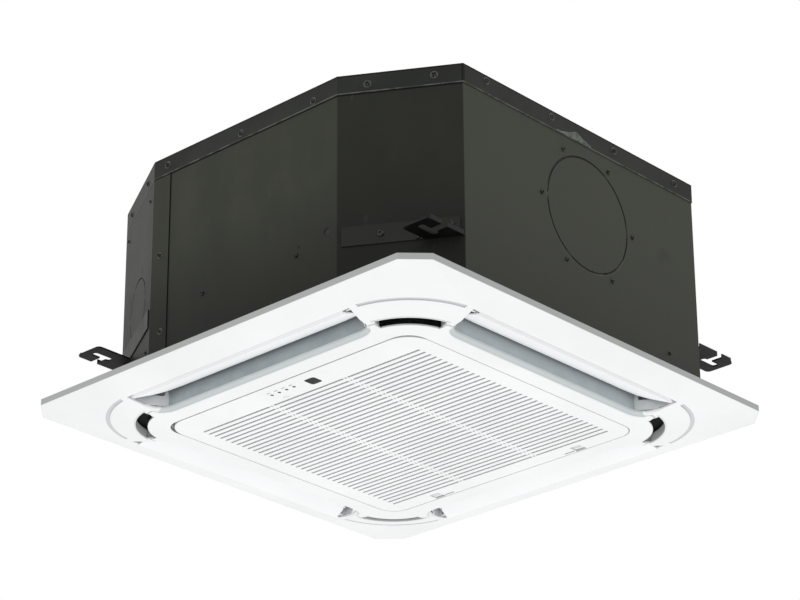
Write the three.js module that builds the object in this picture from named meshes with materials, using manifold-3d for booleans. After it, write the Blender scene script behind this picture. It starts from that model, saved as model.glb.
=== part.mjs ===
// Ceiling cassette air conditioner: an eight-sided sheet-metal indoor unit that hangs above the
// ceiling, and the square facia panel that shows below it.
// Millimetres, +Z up. The origin is the middle of the ceiling plane, on the panel's upper edge.
// Sides: display side -Y, knock-out side +X, latch side +Y, pipe side -X.

import * as THREE from 'three';
import { mergeVertices } from 'three/addons/utils/BufferGeometryUtils.js';
import Module from 'manifold-3d';

const wasm = await Module();
wasm.setup();

// ---------------------------------------------------------------- driving dimensions

const seatGap = 0.3;              // clearance left between pieces that rest on each other

// casing above the ceiling
const casingHalfX = 420;
const casingHalfY = 405;
const casingTop = 428;
const casingBottom = 8;
const sheet = 1.2;                // steel sheet of the casing
const rimHeight = 36;             // folded rim of the top cap
const casingFlange = 8;           // inward lip at the foot of the casing
const nearChamferX = 188;         // display side, knock-out side corner
const nearChamferY = 113;
const pipeChamferX = 192;         // display side, pipe side corner
const pipeChamferY = 108;
const latchChamferX = 112;        // both corners of the latch side
const latchChamferY = 67;
const linerThick = 8;
const linerTopThick = 22.5;
const linerMotorHole = 125;

// knock-outs in the casing
const freshAirY = 33;
const freshAirZ = 256;
const freshAirRadius = 108.7;
const freshAirScrewRadius = 124;
const freshAirScrewHole = 3;
const cornerBlankZ = 178;
const cornerBlankRadius = 58;
const cornerBlankAlong = 118;
const knockoutCut = 2.4;
const knockoutTabs = 6;
const knockoutTabAngle = 0.14;

// corner cover plate over the pipe side chamfer
const coverReachX = 43;
const coverTop = 391;
const coverBottom = 12;

// hanger brackets
const hangerZ = 101;
const hangerPlate = 3;
const hangerWidth = 59;
const hangerLip = 6;
const hangerLipThick = 2;
const hangerSlotFromEdge = 30;    // rod slot's centre line to the bracket's outer edge
const hangerSlotWidth = 13;
const hangerSlotLength = 42;
const hangerSlotInset = 13;
const hangerMouth = 14;
const hangerMouthInset = 34;
const hangerFlangeHeight = 36;
const hangerFlangeThick = 2;
const nearHangerReach = casingHalfY - 20;     // how far each plate reaches along Y
const pipeHangerReach = casingHalfY + 3;
const latchHangerReach = casingHalfY + 36;

// facia panel
const panelHalf = 475;
const panelChamfer = 41;
const panelEdge = 11.3;
const panelSkin = 3;
const creaseHalf = 416;           // line where the sloping border meets the outlets
const creaseRadius = 154;
const creaseZ = -26;
const plateauHalf = 353;          // flat inner frame
const plateauRadius = 97;
const plateauZ = -41;
const openingHalf = 302;          // intake opening
const openingRadius = 38;
const hingeSideGap = 3;           // wider gap that lets the grille edge swing
const hingeSideRadius = 48;       // and rounder grille corners, which clear the opening's corners
const grilleGap = 1.6;

// air outlets
const outletInner = 344;
const outletHalfLength = 271;
const lipBevel = 7;
const lipTopZ = -34;
const collarTopZ = -30;
const collarWall = 6;
const ductWall = 2.5;
const ductTopInner = 346;
const ductTopOuter = 385;
const ductTopHalfLength = 247;
const ductBendZ = -12;
const ductTopZ = 7.7;
const cornerFeedHeight = 14;
const cornerFeedWidth = 26;
const panelPostRadius = 8;
const panelPostAt = 306;
const cornerSlotWidth = 13;
const cornerSlotHalfAngle = 0.60;
const cornerFlareAngle = 0.09;
const cornerGrooveWidth = 5;
const cornerGrooveHalfAngle = 0.62;
const cornerGrooveDepth = 1.3;

// louvres
const louvrePivotA = 407;         // distance of the pivot from the panel centre
const louvrePivotZ = -22.5;
const louvreThick = 2.5;
const louvreWidth = 67.4;
const louvreEndGap = 5;
const louvreOuterFace = 5.4;      // pivot to the louvre's outer face
const louvrePivotFromEdge = 8.1;
const louvreClosedTilt = -0.168;
const louvreOpen = 0.562;         // turned in from closed, as photographed
const louvrePin = 1.9;
const motorBoss = 2.4;
const motorCan = 9.5;

// intake grille
const grillePlate = 4;
const grilleRim = 10;
const grilleRimThick = 2.5;
const slotPitch = 13.83;
const slotWidth = 5;
const slotCount = 37;
const slotFirstY = -236.3;
const slotFieldHalfX = 264;
const slotRib = 6;
const slotRibX = 88;
const hingePinY = -296.3;
const hingePinZ = -37;
const hingePinRadius = 2;
const hingeX = 200;
const knuckleHalf = 6;
const hingePost = 3;

// receiver, lenses and button in the display strip
const windowX = 41;
const windowY = -266.3;
const windowSize = 24;
const lensFirstX = -55;
const lensPitch = 18;
const lensY = -270.6;
const lensRadius = 3;
const buttonX = -43;
const buttonY = -247.5;
const buttonLength = 12;
const buttonWidth = 6;
const buttonTravel = 1;

// grille latches
const latchX = 173;
const latchWidth = 23;
const latchDepth = 12;
const latchTravel = 6;
const latchEndGap = 3;            // from the latch's end to the wall of its recess

// fan, motor and bell mouth
const fanRadius = 232;
const fanBackZ = 330;
const fanBladeCount = 7;
const fanInletRadius = 172;
const fanInletZ = 88;
const fanShroudZ = 135;
const fanWall = 3;
const fanSides = 24;
const hubZ = 262;
const hubThick = 6;
const shaftRadius = 6;
const motorRadius = 70;
const motorBottom = 300;
const motorFlange = 103;
const motorFlangeThick = 4;
const motorBore = 40;
const mountCircle = 88;
const mountRadius = 11;
const mountHeight = 16.7;
const motorPlateRadius = 112;
const motorPlateThick = 3;

// heat exchanger and pipes
const coilHalf = 334;
const coilThick = 44;
const coilRadius = 95;
const coilGapEnd = -172;          // where the ring stops at the pipe corner
const endPlate = 2;
const bendCount = 8;
const bendRadius = 12;
const bendTube = 4.5;
const gasPipeRadius = 8;
const liquidPipeRadius = 5;
const gasPipeZ = 150;
const liquidPipeZ = 215;
const pipeExitY = -225;
const pipeReach = casingHalfX + 35;
const pipePlateHalf = 57;

// drain
const panTop = 80;
const panTroughFloor = 45;
const panTroughInner = 280;
const panTroughOuter = 339;
const panOpening = 200;
const panChannelInner = 345;
const panChannelOuter = 386;
const sumpFloor = 50;
const pumpX = -casingHalfX + 70;
const pumpY = casingHalfY - 80;
const pumpRadius = 25;
const pumpBottom = 150;
const pumpTop = 225;
const drainPortY = pumpY - 7;
const drainPortZ = 300;
const drainBore = 12.5;
const drainWall = 3;
const drainPortIn = 25;           // how far the port stands inside and outside the wall
const drainPortOut = 30;
const floatX = pumpX + 20;
const floatY = pumpY - 17;
const floatStem = 3;
const floatRadius = 11;
const floatHeight = 14;
const floatTravel = 12;

// control box
const boxHalfX = 150;
const boxMinY = 228;
const boxMaxY = 299;
const boxBottom = -20;
const boxRecessTop = 36;
const boxSheet = 1.5;

const cornerSteps = 6;            // straight facets in a quarter turn of a round corner

// ---------------------------------------------------------------- helpers

// A closed three.js geometry as a solid that can be cut and joined.
function solid(geometry) {
  const bare = geometry.index ? geometry.toNonIndexed() : geometry.clone();
  for (const name of Object.keys(bare.attributes)) {
    if (name !== 'position') bare.deleteAttribute(name);
  }
  const merged = mergeVertices(bare, 1e-4);
  return new wasm.Manifold(new wasm.Mesh({
    numProp: 3,
    vertProperties: new Float32Array(merged.attributes.position.array),
    triVerts: new Uint32Array(merged.index.array),
  }));
}

// A finished solid as a named mesh with its own material.
function piece(name, shape, finish) {
  const mesh = shape.getMesh();
  const geometry = new THREE.BufferGeometry();
  geometry.setAttribute('position', new THREE.BufferAttribute(mesh.vertProperties, 3));
  geometry.setIndex(new THREE.BufferAttribute(mesh.triVerts, 1));
  geometry.computeVertexNormals();
  const part = new THREE.Mesh(geometry, new THREE.MeshStandardMaterial(finish));
  part.name = name;
  return part;
}

function join(shapes) {
  return shapes.reduce((whole, next) => whole.add(next));
}

function cut(shape, tools) {
  return tools.reduce((whole, tool) => whole.subtract(tool), shape);
}

function block(x0, x1, y0, y1, z0, z1) {
  const box = new THREE.BoxGeometry(x1 - x0, y1 - y0, z1 - z0);
  return solid(box.translate((x0 + x1) / 2, (y0 + y1) / 2, (z0 + z1) / 2));
}

function outline(points) {
  return new THREE.Shape(points.map(([x, y]) => new THREE.Vector2(x, y)));
}

// A flat outline pushed up from z0 to z1.
function prismGeometry(shape, z0, z1, curveSegments = 10) {
  const options = { depth: z1 - z0, bevelEnabled: false, curveSegments };
  return new THREE.ExtrudeGeometry(shape, options).translate(0, 0, z0);
}

function prism(shape, z0, z1, curveSegments) {
  return solid(prismGeometry(shape, z0, z1, curveSegments));
}

// A round bar between two heights along one axis, centred on the other two coordinates.
function bar(axis, radius, from, to, centre, sides = 20) {
  const rod = new THREE.CylinderGeometry(radius, radius, to - from, sides);
  const middle = (from + to) / 2;
  if (axis === 'x') return solid(rod.rotateZ(Math.PI / 2).translate(middle, centre[0], centre[1]));
  if (axis === 'y') return solid(rod.translate(centre[0], middle, centre[1]));
  return solid(rod.rotateX(Math.PI / 2).translate(centre[0], centre[1], middle));
}

// A closed profile of [radius, height] points turned about the vertical axis.
function turned(profile, sides = 48) {
  const points = [...profile, profile[0]].map(([r, z]) => new THREE.Vector2(r, z));
  return solid(new THREE.LatheGeometry(points, sides).rotateX(Math.PI / 2));
}

// A square outline with round corners, as points at one height. The two corners at y0 may have
// a radius of their own.
function roundRing(x0, x1, y0, y1, radius, z, steps = cornerSteps, lowRadius = radius) {
  const ring = [];
  const places = [[x1 - radius, y1 - radius, radius], [x0 + radius, y1 - radius, radius],
    [x0 + lowRadius, y0 + lowRadius, lowRadius], [x1 - lowRadius, y0 + lowRadius, lowRadius]];
  places.forEach(([cx, cy, reach], corner) => {
    for (let i = 0; i <= steps; i += 1) {
      const angle = (corner + i / steps) * Math.PI / 2;
      ring.push(new THREE.Vector3(cx + reach * Math.cos(angle), cy + reach * Math.sin(angle), z));
    }
  });
  return ring;
}

function squareRing(half, radius, z, steps) {
  return roundRing(-half, half, -half, half, radius, z, steps);
}

// A square outline with its corners cut off, with as many points as a round one.
function chamferRing(half, chamfer, z, steps = cornerSteps) {
  const ring = [];
  for (let corner = 0; corner < 4; corner += 1) {
    for (let i = 0; i <= steps; i += 1) {
      const along = chamfer * i / steps;
      const point = new THREE.Vector3(half - along, half - chamfer + along, z);
      ring.push(point.applyAxisAngle(new THREE.Vector3(0, 0, 1), corner * Math.PI / 2));
    }
  }
  return ring;
}

// Rings of equal count joined into a skin. A looped stack closes on itself; another gets flat ends.
function stack(rings, looped) {
  const count = rings[0].length;
  const position = rings.flat().flatMap((p) => [p.x, p.y, p.z]);
  const index = [];
  const last = looped ? rings.length : rings.length - 1;
  for (let level = 0; level < last; level += 1) {
    const below = level * count;
    const above = ((level + 1) % rings.length) * count;
    for (let i = 0; i < count; i += 1) {
      const next = (i + 1) % count;
      index.push(below + i, below + next, above + next);
      index.push(below + i, above + next, above + i);
    }
  }
  if (!looped) {
    const flat = rings[0].map((p) => new THREE.Vector2(p.x, p.y));
    const top = (rings.length - 1) * count;
    for (const [a, b, c] of THREE.ShapeUtils.triangulateShape(flat, [])) {
      index.push(a, c, b);
      index.push(top + a, top + b, top + c);
    }
  }
  const geometry = new THREE.BufferGeometry();
  geometry.setAttribute('position', new THREE.Float32BufferAttribute(position, 3));
  geometry.setIndex(index);
  return solid(geometry);
}

// A tube of round section along a curve.
function tube(curve, radius, steps, sides = 10) {
  const section = new THREE.Shape();
  for (let i = 0; i < sides; i += 1) {
    const angle = (i / sides) * 2 * Math.PI;
    const x = radius * Math.cos(angle);
    const y = radius * Math.sin(angle);
    if (i === 0) section.moveTo(x, y);
    else section.lineTo(x, y);
  }
  section.closePath();
  return solid(new THREE.ExtrudeGeometry(section, { steps, extrudePath: curve, bevelEnabled: false }));
}

// An arc band about a centre, as an outline.
function arcBand(cx, cy, inner, outer, from, to, steps = 12) {
  const points = [];
  for (let i = 0; i <= steps; i += 1) {
    const angle = from + (to - from) * i / steps;
    points.push([cx + outer * Math.cos(angle), cy + outer * Math.sin(angle)]);
  }
  for (let i = steps; i >= 0; i -= 1) {
    const angle = from + (to - from) * i / steps;
    points.push([cx + inner * Math.cos(angle), cy + inner * Math.sin(angle)]);
  }
  return outline(points);
}

// The casing's eight-sided plan, moved inwards by an inset (outwards where negative).
const casingCorners = [
  [casingHalfX, casingHalfY - latchChamferY],
  [casingHalfX - latchChamferX, casingHalfY],
  [-casingHalfX + latchChamferX, casingHalfY],
  [-casingHalfX, casingHalfY - latchChamferY],
  [-casingHalfX, -casingHalfY + pipeChamferY],
  [-casingHalfX + pipeChamferX, -casingHalfY],
  [casingHalfX - nearChamferX, -casingHalfY],
  [casingHalfX, -casingHalfY + nearChamferY],
];

function casingPlan(inset) {
  const count = casingCorners.length;
  const edges = casingCorners.map(([x, y], i) => {
    const [nx, ny] = casingCorners[(i + 1) % count];
    const length = Math.hypot(nx - x, ny - y);
    const normal = [(ny - y) / length, -(nx - x) / length];
    return { normal, reach: normal[0] * x + normal[1] * y - inset };
  });
  return edges.map((edge, i) => {
    const previous = edges[(i + count - 1) % count];
    const det = previous.normal[0] * edge.normal[1] - previous.normal[1] * edge.normal[0];
    const x = (previous.reach * edge.normal[1] - edge.reach * previous.normal[1]) / det;
    const y = (previous.normal[0] * edge.reach - edge.normal[0] * previous.reach) / det;
    return [x, y];
  });
}

function casingPrism(inset, z0, z1) {
  return prism(outline(casingPlan(inset)), z0, z1);
}

// A flat strip that lies along a chamfer of the casing, from one distance off it to another.
function chamferStrip(start, end, from, to, near, far, z0, z1) {
  const length = Math.hypot(end[0] - start[0], end[1] - start[1]);
  const along = [(end[0] - start[0]) / length, (end[1] - start[1]) / length];
  const out = [along[1], -along[0]];
  const at = (s, d) => [start[0] + along[0] * s + out[0] * d, start[1] + along[1] * s + out[1] * d];
  return prism(outline([at(from, near), at(from, far), at(to, far), at(to, near)]), z0, z1);
}

const quarter = Math.PI / 2;

// Turns a solid made on the display side to one of the four sides.
function toSide(shape, side) {
  const spin = new THREE.Matrix4().makeRotationZ(side * quarter);
  return moved(shape, spin);
}

function moved(shape, matrix) {
  const mesh = shape.getMesh();
  const geometry = new THREE.BufferGeometry();
  geometry.setAttribute('position', new THREE.BufferAttribute(mesh.vertProperties, 3));
  geometry.setIndex(new THREE.BufferAttribute(mesh.triVerts, 1));
  return solid(geometry.applyMatrix4(matrix));
}

// ---------------------------------------------------------------- finishes

const finishes = {
  casing: { color: 0x3a3b35, roughness: 0.5, metalness: 0.45 },
  bracket: { color: 0x151515, roughness: 0.5, metalness: 0.3 },
  panel: { color: 0xf0f1f2, roughness: 0.42, metalness: 0 },
  duct: { color: 0x8e979b, roughness: 0.7, metalness: 0 },
  foam: { color: 0x2c2e2f, roughness: 0.95, metalness: 0 },
  styrene: { color: 0xe8e9e6, roughness: 0.9, metalness: 0 },
  fan: { color: 0xd9dcdc, roughness: 0.5, metalness: 0 },
  zinc: { color: 0xb5b8ba, roughness: 0.35, metalness: 0.9 },
  motor: { color: 0x25272a, roughness: 0.5, metalness: 0.3 },
  rubber: { color: 0x1b1b1b, roughness: 0.85, metalness: 0 },
  aluminium: { color: 0xc3c8ca, roughness: 0.4, metalness: 0.8 },
  copper: { color: 0xb8703f, roughness: 0.35, metalness: 0.95 },
  brass: { color: 0xc2a15a, roughness: 0.35, metalness: 0.9 },
  plastic: { color: 0xe4e5e4, roughness: 0.5, metalness: 0 },
  board: { color: 0x2f6b45, roughness: 0.6, metalness: 0 },
  lens: { color: 0x17191b, roughness: 0.15, metalness: 0 },
  filter: { color: 0x6f7579, roughness: 0.8, metalness: 0 },
};

// ---------------------------------------------------------------- casing

const wallTop = casingTop - sheet - seatGap;
const slabBottom = wallTop - linerTopThick;
const corners = casingCorners;

// A flat shape drawn on a side wall: its first axis along the wall, its second axis up.
function onWall(shape, origin, along) {
  const right = new THREE.Vector3(along[0], along[1], 0);
  const up = new THREE.Vector3(0, 0, 1);
  const matrix = new THREE.Matrix4().makeBasis(right, up, right.clone().cross(up));
  return moved(shape, matrix.setPosition(origin[0], origin[1], 0));
}

// The broken ring that is punched round a knock-out, with tabs left between the cuts.
function knockoutRing(x, y, radius, depth) {
  const step = 2 * Math.PI / knockoutTabs;
  const arcs = [];
  for (let i = 0; i < knockoutTabs; i += 1) {
    const from = i * step + knockoutTabAngle / 2;
    const band = arcBand(x, y, radius - knockoutCut / 2, radius + knockoutCut / 2,
      from, from + step - knockoutTabAngle, 4);
    arcs.push(prism(band, -depth, depth));
  }
  return join(arcs);
}

function casingWall() {
  const shell = cut(casingPrism(0, casingBottom, wallTop), [
    casingPrism(sheet, casingBottom + sheet, wallTop + 1),
    casingPrism(casingFlange, casingBottom - 1, casingBottom + 2 * sheet),
  ]);
  const freshAir = [knockoutRing(freshAirY, freshAirZ, freshAirRadius, 5)];
  for (let i = 0; i < 6; i += 1) {
    const angle = i * Math.PI / 3;
    const at = [freshAirY + freshAirScrewRadius * Math.cos(angle),
      freshAirZ + freshAirScrewRadius * Math.sin(angle)];
    freshAir.push(bar('z', freshAirScrewHole, -5, 5, at, 8));
  }
  const pipeWindow = block(-casingHalfX - 5, -casingHalfX + 5, pipeExitY - 45, pipeExitY + 45,
    gasPipeZ - 30, liquidPipeZ + 30);
  const drainHole = bar('x', drainBore + drainWall + seatGap, -casingHalfX - 5, -casingHalfX + 5,
    [drainPortY, drainPortZ], 24);
  const serviceWindow = chamferStrip(corners[4], corners[5], 30, 190, -5, 5, 60, 360);
  const cableHole = bar('y', 7, -casingHalfY - 5, -casingHalfY + 5, [208.6, 139.4], 16);
  const tags = bar('y', 2, -casingHalfY - 5, -casingHalfY + 5, [142.3, 132.9], 8);
  return cut(shell, [
    onWall(join(freshAir), [casingHalfX, 0], [0, 1]),
    pipeWindow, drainHole, serviceWindow, cableHole, tags,
  ]);
}

function casingTopCap() {
  const cap = casingPrism(-seatGap - sheet, casingTop - rimHeight, casingTop);
  return cap.subtract(casingPrism(-seatGap, casingTop - rimHeight - 1, casingTop - sheet));
}

// The plate that closes the pipe side chamfer and laps round onto the display side wall.
function cornerCover() {
  const outer = casingPrism(-seatGap - sheet, coverBottom, coverTop);
  const skin = outer.subtract(casingPrism(-seatGap, coverBottom - 1, coverTop + 1));
  const reach = block(-casingHalfX - 9, corners[5][0] + coverReachX, -casingHalfY - 9,
    corners[4][1] + 12, coverBottom - 1, coverTop + 1);
  const ring = knockoutRing(cornerBlankAlong, cornerBlankZ, cornerBlankRadius, 5);
  const direction = new THREE.Vector2(corners[5][0] - corners[4][0], corners[5][1] - corners[4][1]);
  direction.normalize();
  return skin.intersect(reach).subtract(onWall(ring, corners[4], [direction.x, direction.y]));
}

function pipePlate() {
  const outside = -casingHalfX - seatGap;
  const plate = block(outside - sheet, outside, pipeExitY - pipePlateHalf, pipeExitY + pipePlateHalf,
    gasPipeZ - 42, liquidPipeZ + 42);
  const holes = [[gasPipeRadius, gasPipeZ], [liquidPipeRadius, liquidPipeZ]].map(
    ([radius, z]) => bar('x', radius + seatGap, outside - 9, outside + 9, [pipeExitY, z]));
  return cut(plate, holes);
}

function foamLiner() {
  const outside = sheet + seatGap;
  const bottom = panTop + seatGap;
  return cut(casingPrism(outside, bottom, wallTop), [
    casingPrism(outside + linerThick, bottom - 1, slabBottom),
    bar('z', linerMotorHole, slabBottom - 5, wallTop + 5, [0, 0], 28),
    block(-casingHalfX, -casingHalfX + 20, pipeExitY - 47, pipeExitY + 47, gasPipeZ - 32,
      liquidPipeZ + 32),
    bar('x', drainBore + drainWall + seatGap, -casingHalfX, -casingHalfX + 20,
      [drainPortY, drainPortZ], 24),
  ]);
}

// One hanger bracket: a flat plate that fills the cut corner, open on the outside so that a
// threaded rod slides in, with lips beside the mouth and a strip fixed to the chamfer.
// The corner is given by its signs, its chamfer, and how far the plate reaches along Y.
function hangerBracket(signX, signY, start, end, reach, lift) {
  const inner = casingHalfX - hangerWidth;
  const chamferX = Math.abs(Math.abs(end[0]) - Math.abs(start[0]));
  const chamferY = Math.abs(Math.abs(end[1]) - Math.abs(start[1]));
  const slope = chamferY / chamferX;
  const clear = (lift + hangerFlangeThick / 2) * Math.hypot(1, slope);
  const wallAt = (x) => casingHalfY - slope * (x - (casingHalfX - chamferX)) + clear;
  const plate = outline([
    [inner, wallAt(inner)], [casingHalfX, wallAt(casingHalfX)], [casingHalfX, reach - 6],
    [casingHalfX - 6, reach], [inner + 14, reach], [inner, reach - 14],
  ]);
  const slotEnd = reach - hangerSlotInset;
  const slotStart = slotEnd - hangerSlotLength;
  const mouthEnd = reach - hangerMouthInset;
  const half = hangerSlotWidth / 2;
  const slotCentre = casingHalfX - hangerSlotFromEdge;
  const top = hangerZ + hangerPlate;
  const lips = [[mouthEnd, reach - 6], [wallAt(casingHalfX) + 2, mouthEnd - hangerMouth]];
  const lipBars = lips.filter(([y0, y1]) => y1 > y0 + 1).map(
    ([y0, y1]) => block(casingHalfX - hangerLipThick, casingHalfX, y0, y1, hangerZ + 1,
      top + hangerLip));
  const body = cut(join([prism(plate, hangerZ, top), ...lipBars]), [
    block(slotCentre - half, slotCentre + half, slotStart, slotEnd, hangerZ - 1, top + 1),
    block(slotCentre, casingHalfX + 5, mouthEnd - hangerMouth, mouthEnd, hangerZ - 1,
      top + hangerLip + 5),
  ]);
  const mirror = new THREE.Matrix4().makeScale(signX, signY, 1);
  const placed = mirrored(body, mirror, signX * signY < 0);
  const length = Math.hypot(end[0] - start[0], end[1] - start[1]);
  const strip = chamferStrip(start, end, 8, length - 8, lift, lift + hangerFlangeThick, hangerZ,
    hangerZ + hangerFlangeHeight);
  return placed.add(strip);
}

// A solid put through a matrix that may mirror it, with its faces kept pointing out.
function mirrored(shape, matrix, flips) {
  const mesh = shape.getMesh();
  const geometry = new THREE.BufferGeometry();
  geometry.setAttribute('position', new THREE.BufferAttribute(mesh.vertProperties, 3));
  const index = Array.from(mesh.triVerts);
  if (flips) {
    for (let i = 0; i < index.length; i += 3) [index[i + 1], index[i + 2]] = [index[i + 2], index[i + 1]];
  }
  geometry.setIndex(index);
  return solid(geometry.applyMatrix4(matrix));
}

// ---------------------------------------------------------------- fan and motor

const plateUnder = wallTop - motorPlateThick;
const motorTop = plateUnder - 2 * seatGap - mountHeight;
const hubBottom = hubZ - 22;

function motorPlate() {
  return bar('z', motorPlateRadius, plateUnder, wallTop, [0, 0], 28);
}

function mountPlace(i) {
  const angle = i * 2 * Math.PI / 3 + Math.PI / 6;
  return [mountCircle * Math.cos(angle), mountCircle * Math.sin(angle)];
}

function rubberMount(i) {
  const bottom = motorTop + seatGap;
  const waist = mountRadius - 3;
  const profile = [[0, 0], [mountRadius, 0], [mountRadius, 5], [waist, 7],
    [waist, mountHeight - 7], [mountRadius, mountHeight - 5], [mountRadius, mountHeight],
    [0, mountHeight]];
  const points = profile.map(([r, z]) => new THREE.Vector2(r, z));
  const [x, y] = mountPlace(i);
  return solid(new THREE.LatheGeometry(points, 10).rotateX(quarter).translate(x, y, bottom));
}

function fanMotor() {
  const points = [[0, motorBottom], [motorRadius - 8, motorBottom], [motorRadius, motorBottom + 8],
    [motorRadius, motorTop - motorFlangeThick], [motorFlange, motorTop - motorFlangeThick],
    [motorFlange, motorTop], [0, motorTop]].map(([r, z]) => new THREE.Vector2(r, z));
  const can = solid(new THREE.LatheGeometry(points, 24).rotateX(quarter));
  return can.subtract(bar('z', shaftRadius + seatGap, motorBottom - 1, motorBottom + motorBore, [0, 0]));
}

function motorShaft() {
  return bar('z', shaftRadius, hubBottom - 16, motorBottom + motorBore - seatGap, [0, 0]);
}

function fanNut() {
  const top = hubBottom - seatGap;
  const hex = bar('z', 12, top - 10, top, [0, 0], 6);
  return hex.subtract(bar('z', shaftRadius + seatGap, top - 11, top + 1, [0, 0]));
}

// One backward curved blade, as a plan outline that sweeps back as it goes out.
function bladePlan() {
  const steps = 4;
  const inner = 147;
  const outer = fanRadius - 2;
  const sweep = 0.7;
  const at = (t) => {
    const radius = inner + (outer - inner) * t;
    const angle = -sweep * t;
    return new THREE.Vector2(radius * Math.cos(angle), radius * Math.sin(angle));
  };
  const left = [];
  const right = [];
  for (let i = 0; i <= steps; i += 1) {
    const t = i / steps;
    const along = at(Math.min(t + 0.01, 1)).sub(at(Math.max(t - 0.01, 0))).normalize();
    const side = new THREE.Vector2(-along.y, along.x).multiplyScalar(fanWall / 2);
    left.push(at(t).add(side));
    right.unshift(at(t).sub(side));
  }
  return new THREE.Shape([...right, ...left]);
}

function turboFan() {
  const back = fanBackZ - fanWall;
  const hub = turned([[shaftRadius + seatGap, hubBottom], [26, hubBottom], [26, hubZ], [58, hubZ],
    [122, back], [fanRadius, back], [fanRadius, fanBackZ], [120, fanBackZ],
    [56, hubZ + hubThick], [shaftRadius + seatGap, hubZ + hubThick]], fanSides);
  const shroud = turned([[fanInletRadius, fanInletZ], [fanInletRadius + fanWall, fanInletZ],
    [177.5, 102.5], [187, 115], [206, 124.5], [fanRadius, fanShroudZ - 4.5],
    [fanRadius, fanShroudZ - 1], [204, 128], [184, 118.5], [174.5, 104]], fanSides);
  const between = turned([[148, 130], [174.5, 103], [184, 117], [204, 126.5],
    [fanRadius - 3, fanShroudZ - 3], [fanRadius - 3, back + 1], [148, back + 1]], fanSides);
  const blades = [];
  const plan = bladePlan();
  for (let i = 0; i < fanBladeCount; i += 1) {
    const blade = prismGeometry(plan, 95, back + 2).rotateZ(i * 2 * Math.PI / fanBladeCount);
    blades.push(solid(blade));
  }
  return join([hub, shroud, join(blades).intersect(between)]);
}

function bellMouthRing() {
  const top = casingBottom - seatGap;
  return turned([[193, top - 2.5], [222, top - 2.5], [222, top], [196, top], [184, 22], [174, 48],
    [166, fanInletZ + 14], [164, fanInletZ + 14], [171.6, 47], [181.5, 20.5]], 28);
}

// ---------------------------------------------------------------- heat exchanger and pipes

const coilBottom = panTroughFloor + seatGap;
const coilTop = slabBottom - seatGap;
const coilMiddle = -coilHalf + coilThick / 2;

function heatExchanger() {
  const outer = stack([squareRing(coilHalf, coilRadius, coilBottom),
    squareRing(coilHalf, coilRadius, coilTop)], false);
  const inside = coilHalf - coilThick;
  const inner = stack([squareRing(inside, coilRadius - coilThick, coilBottom - 1),
    squareRing(inside, coilRadius - coilThick, coilTop + 1)], false);
  const gap = block(-coilHalf - 5, coilGapEnd, -coilHalf - 5, coilGapEnd, coilBottom - 1, coilTop + 1);
  return cut(outer, [inner, gap]);
}

// The end plate on the display side carries the return bends.
function bendEndPlate() {
  const face = coilGapEnd - seatGap;
  const parts = [block(face - endPlate, face, coilMiddle - 24, coilMiddle + 24, coilBottom, coilTop)];
  const pitch = (coilTop - coilBottom) / bendCount;
  const front = face - endPlate / 2;
  for (let i = 0; i < bendCount; i += 1) {
    const z = coilBottom + (i + 0.5) * pitch;
    const ring = new THREE.TorusGeometry(bendRadius, bendTube, 6, 12).rotateX(quarter);
    const upright = solid(ring.rotateX(quarter).rotateZ(quarter).translate(front, coilMiddle, z));
    parts.push(upright.intersect(block(front - 40, front, coilMiddle - 9, coilMiddle + 9, z - 40, z + 40)));
  }
  return join(parts);
}

function pipeEndPlate() {
  const face = coilGapEnd - seatGap;
  return block(coilMiddle - 24, coilMiddle + 24, face - endPlate, face, coilBottom, coilTop);
}

function pipe(radius, z) {
  const start = coilGapEnd - 2 * seatGap - endPlate;
  const route = [[coilMiddle, start], [coilMiddle, start - 14], [coilMiddle - 5, pipeExitY + 12],
    [coilMiddle - 18, pipeExitY], [coilMiddle - 40, pipeExitY], [-pipeReach, pipeExitY]];
  const points = route.map(([x, y]) => new THREE.Vector3(x, y, z));
  return tube(new THREE.CatmullRomCurve3(points, false, 'centripetal'), radius, 10, 8);
}

function flareNut(radius, z) {
  const hex = bar('x', radius * 1.75, -pipeReach - 6, -pipeReach + 14, [pipeExitY, z], 6);
  return hex.subtract(bar('x', radius + seatGap, -pipeReach - 9, -pipeReach + 19, [pipeExitY, z], 16));
}

// ---------------------------------------------------------------- drain

function drainPan() {
  const ledge = casingBottom + sheet + seatGap;
  const body = casingPrism(sheet + seatGap, ledge, panTop)
    .add(casingPrism(casingFlange + 0.5, casingBottom, ledge + 1));
  const trough = stack([squareRing(panTroughOuter, 100, panTroughFloor),
    squareRing(panTroughOuter, 100, panTop + 1)], false)
    .subtract(stack([squareRing(panTroughInner, 41, panTroughFloor - 1),
      squareRing(panTroughInner, 41, panTop + 2)], false));
  const channels = [0, 1, 2, 3].map((side) => toSide(block(-ductTopHalfLength, ductTopHalfLength,
    -panChannelOuter, -panChannelInner, casingBottom - 1, panTop + 1), side));
  return cut(body, [
    bar('z', panOpening, casingBottom - 1, panTop + 1, [0, 0], 36),
    trough,
    ...channels,
    block(pumpX - pumpRadius, pumpX + 38, pumpY - 35, pumpY + pumpRadius, sumpFloor, panTop + 1),
    block(-boxHalfX - 2, boxHalfX + 2, boxMinY - 2, boxMaxY + 2, casingBottom - 1, boxRecessTop),
  ]);
}

function drainPump() {
  const liner = -casingHalfX + sheet + seatGap + linerThick + seatGap;
  return join([
    bar('z', pumpRadius, pumpBottom, pumpTop, [pumpX, pumpY], 24),
    bar('z', 9, sumpFloor + 3, pumpBottom + 2, [pumpX, pumpY], 14),
    bar('z', 7, pumpTop - 2, pumpTop + 8, [pumpX, pumpY], 12),
    block(liner, pumpX, pumpY - 12, pumpY + 5, pumpTop - 8, pumpTop - 5),
    block(liner, liner + 2, pumpY - 20, pumpY + 5, pumpTop - 45, pumpTop - 5),
  ]);
}

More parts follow.
